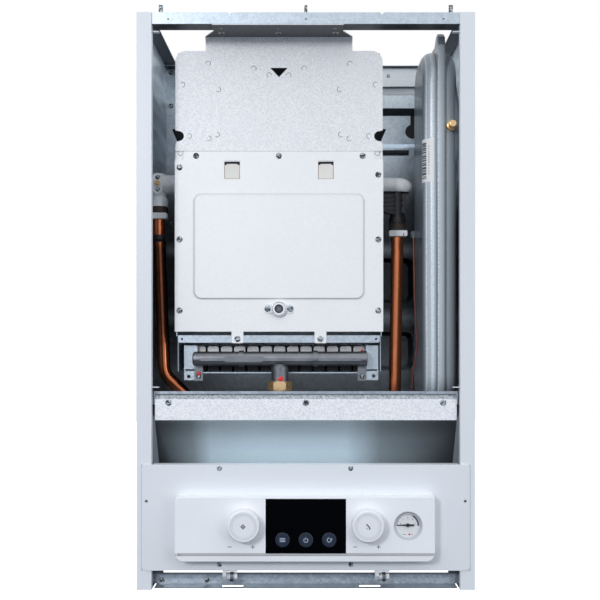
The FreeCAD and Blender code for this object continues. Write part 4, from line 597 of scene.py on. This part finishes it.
def heat_stained(name):
    """Burner steel: pale on the crowns, and painted black below them, where the fronts are in shade."""
    g = Graph(name, metallic=0.7)
    stain = g.noise(45.0, 4.0, 0.6)
    grain = g.noise(600.0, 4.0, 0.6)
    tone = g.mix(g.span(stain, 0.0, 1.0, 0.35, 0.65), (0.66, 0.66, 0.655), (0.52, 0.515, 0.51))
    tone = g.mix(g.span(grain, 0.0, 0.5, 0.5, 0.75), tone, (0.85, 0.85, 0.84))
    # Painted shade: black below the crowns.
    crown = g.over(g.height(), CROWN_LOW * MM)
    g.colour(g.mix(crown, (0.018, 0.018, 0.02), tone))
    g.rough(g.span(grain, 0.34, 0.55, 0.3, 0.7))
    g.bump(grain, 0.00005)
    return g.material


def circuit(name):
    """Green circuit board with paler tracks."""
    g = Graph(name, Roughness=0.35)
    tracks = g.cells(500.0, g.stretched(1.0, 1.0, 0.25))
    g.colour(g.mix(g.span(tracks, 0.0, 1.0, 0.55, 0.6), (0.02, 0.16, 0.07), (0.05, 0.26, 0.12)))
    g.bump(tracks, 0.00005)
    return g.material


def printed(name, colour, roughness=0.5):
    """Ink or paint on another surface, slightly uneven."""
    g = Graph(name)
    worn = g.noise(800.0, 3.0, 0.6)
    g.colour(g.mix(worn, shade(colour, 0.85), shade(colour, 1.15)))
    g.rough(g.span(worn, roughness - 0.08, roughness + 0.08, 0.3, 0.7))
    return g.material


MATERIALS = {
    "casing": casing_paint("casing_paint"),
    "white": powder_coat("white_powder_coat", (0.80, 0.83, 0.86)),
    "zinc": galvanised("zinc_spangle"),
    # A darker copy of the back sheet's zinc: painted shade for the divider tray inside the casing.
    "dark_zinc": galvanised("zinc_spangle_shaded", (0.50, 0.56, 0.62), 0.2, 160.0, (0.28, 0.42)),
    "back_zinc": galvanised("zinc_back_sheet", (0.62, 0.69, 0.75), 0.2, 160.0, (0.28, 0.42),
                            BACK_LEVELS, 0.05),
    "apron": apron_zinc("zinc_tray_front"),
    "hood_zinc": hood_zinc("zinc_hood", HOOD_DEPTH),
    "flue_zinc": hood_zinc("zinc_flue", FLUE_DEPTH),
    "pale_zinc": bright_galvanised("zinc_skin_passed", (0.95, 0.95, 0.945), 0.025, 0.08, field=COVER_FIELD),
    "mottled_zinc": bright_galvanised("zinc_mottled", (0.90, 0.91, 0.92), 0.18, 0.12, 900.0, 0.12,
                                      HOOD_LEVELS),
    "rail_zinc": bright_galvanised("zinc_cross_rail", (0.93, 0.98, 1.0), 0.04, 0.05, dark=0.3),
    "copper": copper("copper_tube"),
    "capillary": capillary("capillary_tube"),
    "screw": screw_steel("screw_heads"),
    "cast": cast_metal("cast_alloy", (0.72, 0.71, 0.69)),
    "elbow": elbow_casting("elbow_casting", (0.98, 0.99, 1.0)),
    "cast_dark": cast_metal("cast_iron", (0.20, 0.20, 0.21), 0.6),
    "manifold": cast_metal("manifold_casting", (0.27, 0.28, 0.30), 0.46, 0.0001),
    "brass": machined("brass_turned", (0.95, 0.66, 0.35), 0.28, 0.8),
    "stainless": machined("stainless_plates", (0.62, 0.61, 0.60), 0.3),
    "fibre": ceramic_fibre("ceramic_fibre"),
    "rubber": rubber("black_rubber"),
    "brown": rubber("brown_fibre", (0.05, 0.035, 0.025)),
    "vessel": vessel_enamel("vessel_enamel"),
    "burner": heat_stained("burner_steel"),
    "white_plastic": moulded("white_moulding", (0.93, 0.945, 0.96)),
    "fascia_plastic": moulded("fascia_moulding", (0.92, 0.94, 0.96), levels=GROOVE_LEVELS),
    "bottom_zinc": galvanised("zinc_bottom_rail", (0.56, 0.62, 0.68), 0.25, levels=RAIL_LEVELS),
    "knob_plastic": moulded("knob_moulding", (0.87, 0.89, 0.91), 0.3),
    "grey_plastic": moulded("grey_moulding", (0.62, 0.65, 0.68)),
    "hook_plastic": moulded("hook_moulding", (0.88, 0.90, 0.93)),
    "black_plastic": moulded("black_moulding", (0.025, 0.025, 0.028), 0.45),
    "display": gloss_glass("display_glass", (0.0006, 0.0006, 0.0012)),
    "button": moulded("button_moulding", (0.014, 0.026, 0.05), 0.3),
    "sight": sight_port("sight_hole_ring"),
    "board": circuit("circuit_board_coating"),
    "ink": printed("grey_ink", (0.10, 0.11, 0.12)),
    "pale_ink": printed("pale_ink", (0.55, 0.62, 0.70)),
    "red": printed("red_paint", (0.75, 0.02, 0.015), 0.35),
    "label": printed("label_paper", (0.80, 0.81, 0.80), 0.45),
    "dial": printed("dial_face", (0.78, 0.79, 0.80), 0.45),
    "bezel": moulded("gauge_bezel", (0.56, 0.60, 0.64), 0.35),
    "button_rim": moulded("button_rim", (0.05, 0.055, 0.065), 0.3),
    # A black used only as painted shade, inside the cover's windows.
    "painted_shade_black": printed("painted_shade_black", (0.008, 0.008, 0.009), 0.9),
    "ring_shade": moulded("ring_shade", (0.50, 0.54, 0.58)),
    "scorched": printed("scorched_edge", (0.42, 0.27, 0.16), 0.8),
}

FINISH = {
    "side_panels": "casing", "top_rail": "zinc", "back_panel": "back_zinc", "upper_cross_rail": "rail_zinc",
    "bottom_rail": "bottom_zinc", "connection_bracket": "zinc", "divider_tray": "dark_zinc",
    "tray_apron": "apron", "frame_screws": "screw", "chamber_cover": "pale_zinc", "chamber_shell": "zinc",
    "chamber_braces": "zinc", "insulation_boards": "fibre", "exchanger_fins": "copper",
    "exchanger_tubes": "copper", "sight_glass": "sight", "hood_plate": "mottled_zinc",
    "hood_shell": "hood_zinc", "flue_collar": "flue_zinc", "elbows": "elbow", "flow_sensor": "brass",
    "elbow_seals": "brown", "elbow_clips": "white_plastic", "water_pipes": "copper", "lower_bar": "zinc",
    "burner_blades": "burner", "burner_rack": "zinc", "gas_manifold": "manifold", "injectors": "brass",
    "manifold_nut": "brass", "gas_pipes": "copper", "gas_valve": "cast", "vessel_shells": "vessel",
    "vessel_rim": "vessel", "vessel_diaphragm": "rubber", "vessel_valve": "brass", "vessel_hose": "copper",
    "gauge_capillary": "capillary", "connections": "brass", "left_block": "brass", "right_block": "brass",
    "pump_housing": "cast_dark", "pump_motor": "black_plastic", "pump_impeller": "black_plastic",
    "plate_exchanger": "stainless", "wiring_loop": "rubber", "panel_plate": "white",
    "fascia": "fascia_plastic", "display_window": "display", "control_box": "grey_plastic",
    "circuit_board": "board", "heating_knob": "knob_plastic", "hot_water_knob": "knob_plastic",
    "mode_button": "button", "power_button": "button", "reset_button": "button",
    "gauge_body": "white_plastic", "gauge_needle": "black_plastic", "hinge_hooks": "hook_plastic",
    "panel_screws": "screw",
}


def dress_nodes():
    for node, finish in FINISH.items():
        slots = NODES[node].data.materials
        slots.clear()
        slots.append(MATERIALS[finish])


dress_nodes()


# ---------------------------------------------------------------- detail pieces
def spot(x, depth, height):
    """A point of the row from millimetres, measured like the CAD."""
    return Vector((x * MM, FRONT + depth * MM, BOTTOM + height * MM))


def piece(name, mesh, finish, body):
    """Adds a mesh to the scene as a detail piece that moves with body."""
    made = bpy.data.objects.new(name, mesh)
    bpy.context.scene.collection.objects.link(made)
    mesh.materials.append(MATERIALS[finish])
    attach(made, body)
    return made


def mesh_from(bm, name, smooth=False):
    bmesh.ops.recalc_face_normals(bm, faces=bm.faces)
    mesh = bpy.data.meshes.new(name)
    bm.to_mesh(mesh)
    bm.free()
    for face in mesh.polygons:
        face.use_smooth = smooth
    return mesh


def raised_print(name, outlines, depth, finish, body, thick=0.12):
    """Thin raised marks that face forward: each outline is a loop of (x, z) in millimetres."""
    bm = bmesh.new()
    for outline in outlines:
        front = [bm.verts.new(spot(x, depth - thick, z)) for x, z in outline]
        back = [bm.verts.new(spot(x, depth + 0.02, z)) for x, z in outline]
        bm.faces.new(front)
        for i in range(len(outline)):
            j = (i + 1) % len(outline)
            bm.faces.new((front[i], front[j], back[j], back[i]))
    return piece(name, mesh_from(bm, name), finish, body)


def turned(points, angle):
    """Points turned by angle degrees about the origin."""
    c, s = math.cos(math.radians(angle)), math.sin(math.radians(angle))
    return [(c * u - s * v, s * u + c * v) for u, v in points]


def moved(points, x, z):
    return [(x + u, z + v) for u, v in points]


def strip(x0, z0, x1, z1):
    return [(x0, z0), (x1, z0), (x1, z1), (x0, z1)]


def arc_points(radius, start, end, steps):
    """Points about the origin, from start to end in degrees."""
    angles = [math.radians(start + (end - start) * i / steps) for i in range(steps + 1)]
    return [(radius * math.cos(a), radius * math.sin(a)) for a in angles]


def arc(radius, width, start, end, steps=24):
    """A curved stroke about the origin, from start to end in degrees."""
    outer = arc_points(radius + width / 2, start, end, steps)
    return outer + arc_points(radius - width / 2, start, end, steps)[::-1]


def disc(radius, steps=28):
    angles = [math.tau * i / steps for i in range(steps)]
    return [(radius * math.cos(a), radius * math.sin(a)) for a in angles]


def join_rings(bm, rings):
    """Faces between neighbouring rings of points, and between the last ring and the first."""
    count = len(rings[0])
    for near, far in zip(rings, rings[1:] + rings[:1]):
        for k in range(count):
            m = (k + 1) % count
            bm.faces.new((near[k], near[m], far[m], far[k]))


def lathe(name, points, centre, finish, body, steps=64):
    """A ring turned about a front-to-back axis from closed (radius, depth) points."""
    bm = bmesh.new()
    x, z = centre
    rings = []
    for i in range(steps):
        a = math.tau * i / steps
        rings.append([bm.verts.new(spot(x + r * math.cos(a), d, z + r * math.sin(a))) for r, d in points])
    join_rings(bm, rings)
    return piece(name, mesh_from(bm, name, True), finish, body)


# Depths of the faces that carry print. They are negative: in front of the casing's front plane.
FASCIA_FACE = -18.0
KNOB_FACE = -33.0
BUTTON_FACE = -19.2
DIAL_FACE = -13.5
KNOBS = {"heating_knob": (-73.5, 83.5), "hot_water_knob": (73.5, 83.5)}
KNOB_PRINT = 0.03                        # how far print stands off a knob
KNOB_RINGS = ((12.9, 0.3), (14.9, 0.25))                  # radius and width
BUTTON_Z, BUTTON_X = 65.0, {"mode_button": -27.8, "power_button": 0.0, "reset_button": 27.8}
BEZEL_IN, BEZEL_OUT = 8.3, 8.7
MARK_Z = 56.5                            # height of the minus and plus signs
MARKS_X = ((-90.8, -63.2), (58.9, 86.7))
GAUGE_X, GAUGE_Z = 122.0, 81.7
DIAL_TURN = 22.5                         # degrees from one stroke of the scale to the next


def make_knob_signs():
    """A radiator on the heating knob, a tap on the water knob, and minus and plus under both."""
    x, z = KNOBS["heating_knob"]
    frame_bars = [strip(-2.3, 1.5, 2.3, 2.3), strip(-2.3, -2.3, 2.3, -1.5)]
    ribs = [strip(u - 0.42, -1.6, u + 0.42, 1.6) for u in (-1.85, -0.6, 0.6, 1.85)]
    raised_print("radiator_sign", [moved(turned(o, 45), x - 0.4, z) for o in frame_bars + ribs],
                 KNOB_FACE, "ink", "heating_knob", KNOB_PRINT)
    x, z = KNOBS["hot_water_knob"]
    spout = [(-2.6, 3.2), (-1.2, 3.3), (1.6, 0.4), (2.5, -1.6), (2.2, -3.2), (0.7, -3.0), (0.8, -1.5),
             (-0.4, 0.4), (-2.4, 2.0)]
    drops = [moved(disc(0.55, 14), -1.6, -1.7), moved(disc(0.45, 14), -0.5, -2.9)]
    raised_print("tap_sign", [moved(o, x, z) for o in [spout] + drops], KNOB_FACE, "ink",
                 "hot_water_knob", KNOB_PRINT)
    marks = []
    for minus, plus in MARKS_X:
        marks.append(strip(minus - 2.6, MARK_Z - 0.4, minus + 2.6, MARK_Z + 0.4))
        marks += [strip(plus - 2.5, MARK_Z - 0.4, plus + 2.5, MARK_Z + 0.4),
                  strip(plus - 0.4, MARK_Z + 0.4, plus + 0.4, MARK_Z + 2.5),
                  strip(plus - 0.4, MARK_Z - 2.5, plus + 0.4, MARK_Z - 0.4)]
    raised_print("turn_marks", marks, FASCIA_FACE, "ink", "control_panel")


def make_knob_rings():
    """Two thin grey rings on the face of each knob, each made of two half turns."""
    for knob, (x, z) in KNOBS.items():
        for number, (radius, width) in enumerate(KNOB_RINGS):
            halves = [moved(arc(radius, width, start, start + 180, 40), x, z) for start in (0, 180)]
            raised_print(f"{knob}_ring_{number}", halves, KNOB_FACE, "ring_shade", knob,
                         KNOB_PRINT)


def make_button_signs():
    """Three bars, a power sign and a round arrow."""
    z = BUTTON_Z
    x = BUTTON_X["mode_button"]
    bars = [strip(x - 3.2, z + v - 0.4, x + 3.2, z + v + 0.4) for v in (-1.8, 0.0, 1.8)]
    raised_print("mode_sign", bars, BUTTON_FACE, "pale_ink", "mode_button")
    x = BUTTON_X["power_button"]
    power = [moved(arc(2.4, 0.7, 125, 415), x, z - 0.3), strip(x - 0.35, z + 0.4, x + 0.35, z + 3.2)]
    raised_print("power_sign", power, BUTTON_FACE, "pale_ink", "power_button")
    x = BUTTON_X["reset_button"]
    arrow = [moved(arc(2.4, 0.7, 80, 370), x, z), moved([(1.0, 0.2), (3.8, 0.2), (2.4, 2.0)], x, z + 0.3)]
    raised_print("reset_sign", arrow, BUTTON_FACE, "pale_ink", "reset_button")
    back, front = FASCIA_FACE - 0.05, FASCIA_FACE - 0.35
    for name, x in BUTTON_X.items():
        ring = [(BEZEL_IN, back), (BEZEL_IN, front), (BEZEL_OUT, front), (BEZEL_OUT, back)]
        lathe(name + "_bezel", ring, (x, z), "button_rim", "control_panel")


def digit_strokes(digit, size):
    """Strokes of a small dial number, drawn on a seven-bar pattern about the origin."""
    w, h, t = size * 0.55, size, size * 0.16
    bars = {"a": strip(0, h - t, w, h), "b": strip(w - t, h / 2, w, h), "c": strip(w - t, 0, w, h / 2),
            "d": strip(0, 0, w, t), "e": strip(0, 0, t, h / 2), "f": strip(0, h / 2, t, h),
            "g": strip(0, h / 2 - t / 2, w, h / 2 + t / 2)}
    lit = {"0": "abcdef", "1": "bc", "2": "abged", "3": "abgcd", "4": "fgbc"}[digit]
    return [moved(bars[k], -w / 2, -h / 2) for k in lit]


def make_gauge():
    """Dial face, scale, numbers, a red dot and the sloping bezel round them."""
    raised_print("gauge_dial", [moved(disc(14.6, 64), GAUGE_X, GAUGE_Z)], DIAL_FACE, "dial",
                 "control_panel", 0.1)
    top = DIAL_FACE - 0.1
    marks = [arc(12.9, 0.5, 62, 182), arc(12.5, 2.2, -4, 62)]
    marks += [turned(strip(10.9, -0.12, 12.8, 0.12), 180 - DIAL_TURN * i) for i in range(9)]
    for number, a in (("0", 170), ("1", 130), ("2", 90), ("3", 50), ("4", 10)):
        u, v = 8.9 * math.cos(math.radians(a)), 8.9 * math.sin(math.radians(a))
        marks += [moved(o, u, v) for o in digit_strokes(number, 1.7)]
    marks += [strip(-6.2, -11.6, -2.2, -11.0), strip(4.2, -11.7, 6.0, -10.9)]
    raised_print("gauge_scale", [moved(o, GAUGE_X, GAUGE_Z) for o in marks], top, "ink",
                 "control_panel", 0.06)
    raised_print("gauge_dot", [moved(disc(1.15), GAUGE_X + 2.0, GAUGE_Z - 11.2)], top, "red",
                 "control_panel", 0.07)
    lathe("gauge_bezel", [(17.15, -17.9), (16.3, -17.6), (14.5, -14.0), (14.5, -13.55), (17.15, -13.55)],
          (GAUGE_X, GAUGE_Z), "bezel", "control_panel")


# The vessel's left half: its flank's X, its front face's depth, and the radius between the two
DISH_FLANK, DISH_FRONT, DISH_ROUND = 146.4, 30.0, 14.0


def dish_point(u, lift):
    """A point u millimetres along the left half's skin from its flank to its front, lifted off it."""
    quarter = DISH_ROUND * math.pi / 2
    if u < 0:
        return DISH_FLANK - lift, DISH_FRONT + DISH_ROUND - u
    if u < quarter:
        a, r = u / DISH_ROUND, DISH_ROUND + lift
        return DISH_FLANK + DISH_ROUND - r * math.cos(a), DISH_FRONT + DISH_ROUND - r * math.sin(a)
    return DISH_FLANK + DISH_ROUND + u - quarter, DISH_FRONT - lift


def wrapped(name, patches, low, high, finish):
    """Patches (u0, z0, u1, z1) laid on the left half's skin, from low to high above it."""
    bm = bmesh.new()
    for u0, z0, u1, z1 in patches:
        steps = max(2, int(abs(u1 - u0) / 1.2))
        rows = []
        for i in range(steps + 1):
            u = u0 + (u1 - u0) * i / steps
            (xa, da), (xb, db) = dish_point(u, low), dish_point(u, high)
            rows.append([bm.verts.new(spot(xa, da, z0)), bm.verts.new(spot(xb, db, z0)),
                         bm.verts.new(spot(xb, db, z1)), bm.verts.new(spot(xa, da, z1))])
        for near, far in zip(rows, rows[1:]):
            for k in range(4):
                m = (k + 1) % 4
                bm.faces.new((near[k], near[m], far[m], far[k]))
        bm.faces.new(rows[0])
        bm.faces.new(rows[-1][::-1])
    return piece(name, mesh_from(bm, name), finish, "chassis")


def make_vessel_label():
    """A paper label with bars and dashes where the maker's print would be."""
    wrapped("vessel_label", [(-1.4, 499.5, 21.1, 553.5)], 0.02, 0.14, "label")
    rng = random.Random(4)
    bars, z = [], 504.0
    while z < 548.0:
        tall = rng.choice((0.9, 1.5, 2.3, 3.1))
        bars.append((1.0, z, 10.8, z + tall))
        z += tall + rng.choice((0.5, 0.8, 1.2))
    dashes = []
    for i in range(11):
        z = 509 + 3.4 * i
        dashes.append((14.1, z, 14.9, z + rng.uniform(1.2, 2.6)))
    wrapped("label_print", bars + dashes, 0.14, 0.2, "ink")


def make_dab(name, centre, size, seed):
    """A dab of thick red paint: a flattened, uneven dome."""
    rng = random.Random(seed)
    bm = bmesh.new()
    bmesh.ops.create_icosphere(bm, subdivisions=3, radius=1.0)
    waves = [(rng.uniform(2, 5), rng.uniform(0, 6), rng.uniform(0.05, 0.14)) for _ in range(4)]
    middle = spot(*centre)
    for v in bm.verts:
        a = math.atan2(v.co.z, v.co.x)
        swell = 1 + sum(k * math.sin(n * a + c) for n, c, k in waves)
        wide, thick, tall = size[0] * swell * MM, size[1] * MM, size[2] * swell * MM
        v.co = middle + Vector((v.co.x * wide, v.co.y * thick, v.co.z * tall))
    return piece(name, mesh_from(bm, name, True), "red", "chassis")


CLIP_FACE = 95.0                         # depth of the right spring clip's front


def make_paint_marks():
    """Red sealing paint on the gas joints, and a red line on the right clip."""
    make_dab("seal_mark_inlet", (-31.8, 47.3, 253.4), (4.0, 1.1, 2.6), 1)
    make_dab("seal_mark_left", (-137.2, 64.6, 259.4), (2.9, 1.0, 2.2), 2)
    make_dab("seal_mark_right", (71.0, 49.6, 289.6), (1.9, 0.7, 1.1), 3)
    line = [(127.2, 438.2), (128.3, 438.2), (129.3, 442.2), (128.2, 442.2)]
    raised_print("clip_mark", [line], CLIP_FACE, "red", "chassis", 0.1)


# The black sleeve round the left pipe, above its bend. BAND_LEAN is its shift in X per millimetre of height.
BAND_CENTRE, BAND_LEAN = (-191.25, 88.0, 434.0), 0.0385
BAND_IN, BAND_OUT, BAND_HALF = 8.02, 8.37, 4.7
BAND_STEPS = 48


def make_pipe_band():
    """A sleeve round the left pipe, which is nearly upright there."""
    bm = bmesh.new()
    x0, d0, z0 = BAND_CENTRE
    levels = [(-BAND_HALF, BAND_IN), (-BAND_HALF, BAND_OUT), (BAND_HALF, BAND_OUT), (BAND_HALF, BAND_IN)]
    rings = []
    for i in range(BAND_STEPS):
        a = math.tau * i / BAND_STEPS
        rings.append([bm.verts.new(spot(x0 + BAND_LEAN * h + r * math.cos(a), d0 + r * math.sin(a), z0 + h))
                      for h, r in levels])
    join_rings(bm, rings)
    return piece("pipe_band", mesh_from(bm, "pipe_band", True), "black_plastic", "chassis")


BOARD_FACE = 52.98                       # depth of the insulation board's front
WINDOWS_X = ((-103.3, -83.5), (15.5, 35.3))
WINDOW_LOW, WINDOW_TOP = 506.4, 528.2


def make_window_edges():
    """Scorched brown edges of the board behind the cover's two windows, with painted shade in their top
    corners and along their tops.
    """
    lines, corners = [], []
    low, top = WINDOW_LOW, WINDOW_TOP
    for left, right in WINDOWS_X:
        x0, x1 = left + 0.1, right - 0.1
        lines += [strip(x0, low, x0 + 0.65, top - 2.2), strip(x1 - 0.65, low, x1, top - 2.2),
                  strip(x0, low, x1, low + 0.6)]
        corners += [strip(x0, top - 3.9, x0 + 2.9, top), strip(x1 - 2.9, top - 3.9, x1, top),
                    strip(x0 + 2.9, top - 2.6, x1 - 2.9, top)]
    raised_print("window_edges", lines, BOARD_FACE, "scorched", "chassis", 0.15)
    # Painted shade in the top corners and along the top of each window.
    raised_print("window_corners", corners, BOARD_FACE, "painted_shade_black", "chassis", 0.2)


make_knob_signs()
make_knob_rings()
make_button_signs()
make_gauge()
make_vessel_label()
make_paint_marks()
make_pipe_band()
make_window_edges()


# ---------------------------------------------------------------- stage and light
SKY_LOW, SKY_HIGH = -0.42, 0.12          # Z of the direction where the light begins and is full
WORLD_LOW, WORLD_HIGH = 0.04, 0.85       # brightness below and above
WORLD_TINTS = (0.35, 0.60, 1.00, 1.0), (1.04, 1.02, 1.00, 1.0)
PURE_WHITE = (1.0, 1.0, 1.0, 1.0)


def make_world():
    """Pure white behind the boiler. What lights it is bright above and dark below, as over a dark floor."""
    world = bpy.data.worlds.new("studio")
    world.use_nodes = True
    tree = world.node_tree
    back = tree.nodes["Background"]
    place = tree.nodes.new("ShaderNodeTexCoord")
    split = tree.nodes.new("ShaderNodeSeparateXYZ")
    ramp = tree.nodes.new("ShaderNodeMapRange")
    ramp.interpolation_type = "SMOOTHSTEP"
    limits = {"From Min": SKY_LOW, "From Max": SKY_HIGH, "To Min": WORLD_LOW, "To Max": WORLD_HIGH}
    for key, value in limits.items():
        ramp.inputs[key].default_value = value
    path = tree.nodes.new("ShaderNodeLightPath")
    pick, tint, plain = (tree.nodes.new("ShaderNodeMix") for _ in range(3))
    tint.data_type = plain.data_type = "RGBA"
    pick.inputs[3].default_value = 1.0
    tint.inputs[6].default_value, tint.inputs[7].default_value = WORLD_TINTS
    plain.inputs[7].default_value = PURE_WHITE
    seen, bright = path.outputs["Is Camera Ray"], ramp.outputs["Result"]
    for source, target in ((place.outputs["Generated"], split.inputs["Vector"]),
                           (split.outputs["Z"], ramp.inputs["Value"]),
                           (seen, pick.inputs[0]), (bright, pick.inputs[2]),
                           (pick.outputs[0], back.inputs["Strength"]),
                           (bright, tint.inputs[0]), (seen, plain.inputs[0]),
                           (tint.outputs[2], plain.inputs[6]),
                           (plain.outputs[2], back.inputs["Color"])):
        tree.links.new(source, target)
    bpy.context.scene.world = world
    bpy.context.scene.view_settings.view_transform = "Standard"


KEYHOLES_X, KEYHOLE_Z = {"card_left": -157.5, "card_right": 157.5}, 608.0
CARD_RADIUS, CARD_SLOT, CARD_TOP = 12.0, 4.0, 633.5
CARD_DEPTH = 250.6


def make_dark_cards():
    """Dark card on the wall side of each keyhole: painted shade, as the shaded wall behind would look."""
    for name, x in KEYHOLES_X.items():
        outline = moved(arc_points(CARD_RADIUS, 107, 433, 40), x, KEYHOLE_Z)
        outline += [(x + CARD_SLOT, CARD_TOP), (x - CARD_SLOT, CARD_TOP)]
        mesh = bpy.data.meshes.new(name)
        mesh.from_pydata([spot(u, CARD_DEPTH, v) for u, v in outline], [], [tuple(range(len(outline)))])
        mesh.materials.append(MATERIALS["rubber"])
        card = bpy.data.objects.new(name, mesh)
        bpy.context.scene.collection.objects.link(card)


LIGHT_COLOUR = (0.91, 0.94, 1.0)
# name, place, target, width, height, watts
SOFTBOXES = (
    ("key_light", (-1.04, -2.30, 0.40), (0, -0.25, -0.3), 0.4, 0.4, 18.5),
    ("top_light", (0.25, -0.95, 1.65), (0, -0.05, -0.05), 0.9, 0.9, 2.5),
    ("fill_light", (1.5, -1.8, -0.1), (0, -0.2, -0.3), 0.8, 1.4, 6.3),
)


def softbox(name, place, target, width, height, power):
    """A rectangular area light that looks at target."""
    data = bpy.data.lights.new(name, "AREA")
    data.shape, data.size, data.size_y, data.energy = "RECTANGLE", width, height, power
    data.color = LIGHT_COLOUR
    lamp = bpy.data.objects.new(name, data)
    lamp.location = place
    lamp.rotation_euler = (Vector(target) - Vector(place)).to_track_quat("-Z", "Y").to_euler()
    bpy.context.scene.collection.objects.link(lamp)


FLOOR_DROP, FLOOR_HALF = 1.0, 12.0


def make_floor():
    """Plain pale floor a metre below the boiler, which hangs on a wall. It adds no bounce light."""
    mesh = bpy.data.meshes.new("floor")
    z, half = BOTTOM - FLOOR_DROP, FLOOR_HALF
    mesh.from_pydata([(-half, -half, z), (half, -half, z), (half, half, z), (-half, half, z)], [],
                     [(0, 1, 2, 3)])
    white = bpy.data.materials.new("pale_floor")
    white.use_nodes = True
    shader = white.node_tree.nodes["Principled BSDF"]
    shader.inputs["Base Color"].default_value = (0.9, 0.9, 0.9, 1.0)
    shader.inputs["Emission Color"].default_value = PURE_WHITE
    shader.inputs["Emission Strength"].default_value = 1.0
    mesh.materials.append(white)
    floor = bpy.data.objects.new("floor", mesh)
    bpy.context.scene.collection.objects.link(floor)
    floor.visible_diffuse = floor.visible_glossy = floor.visible_shadow = False


make_world()
make_floor()
make_dark_cards()
for light in SOFTBOXES:
    softbox(*light)
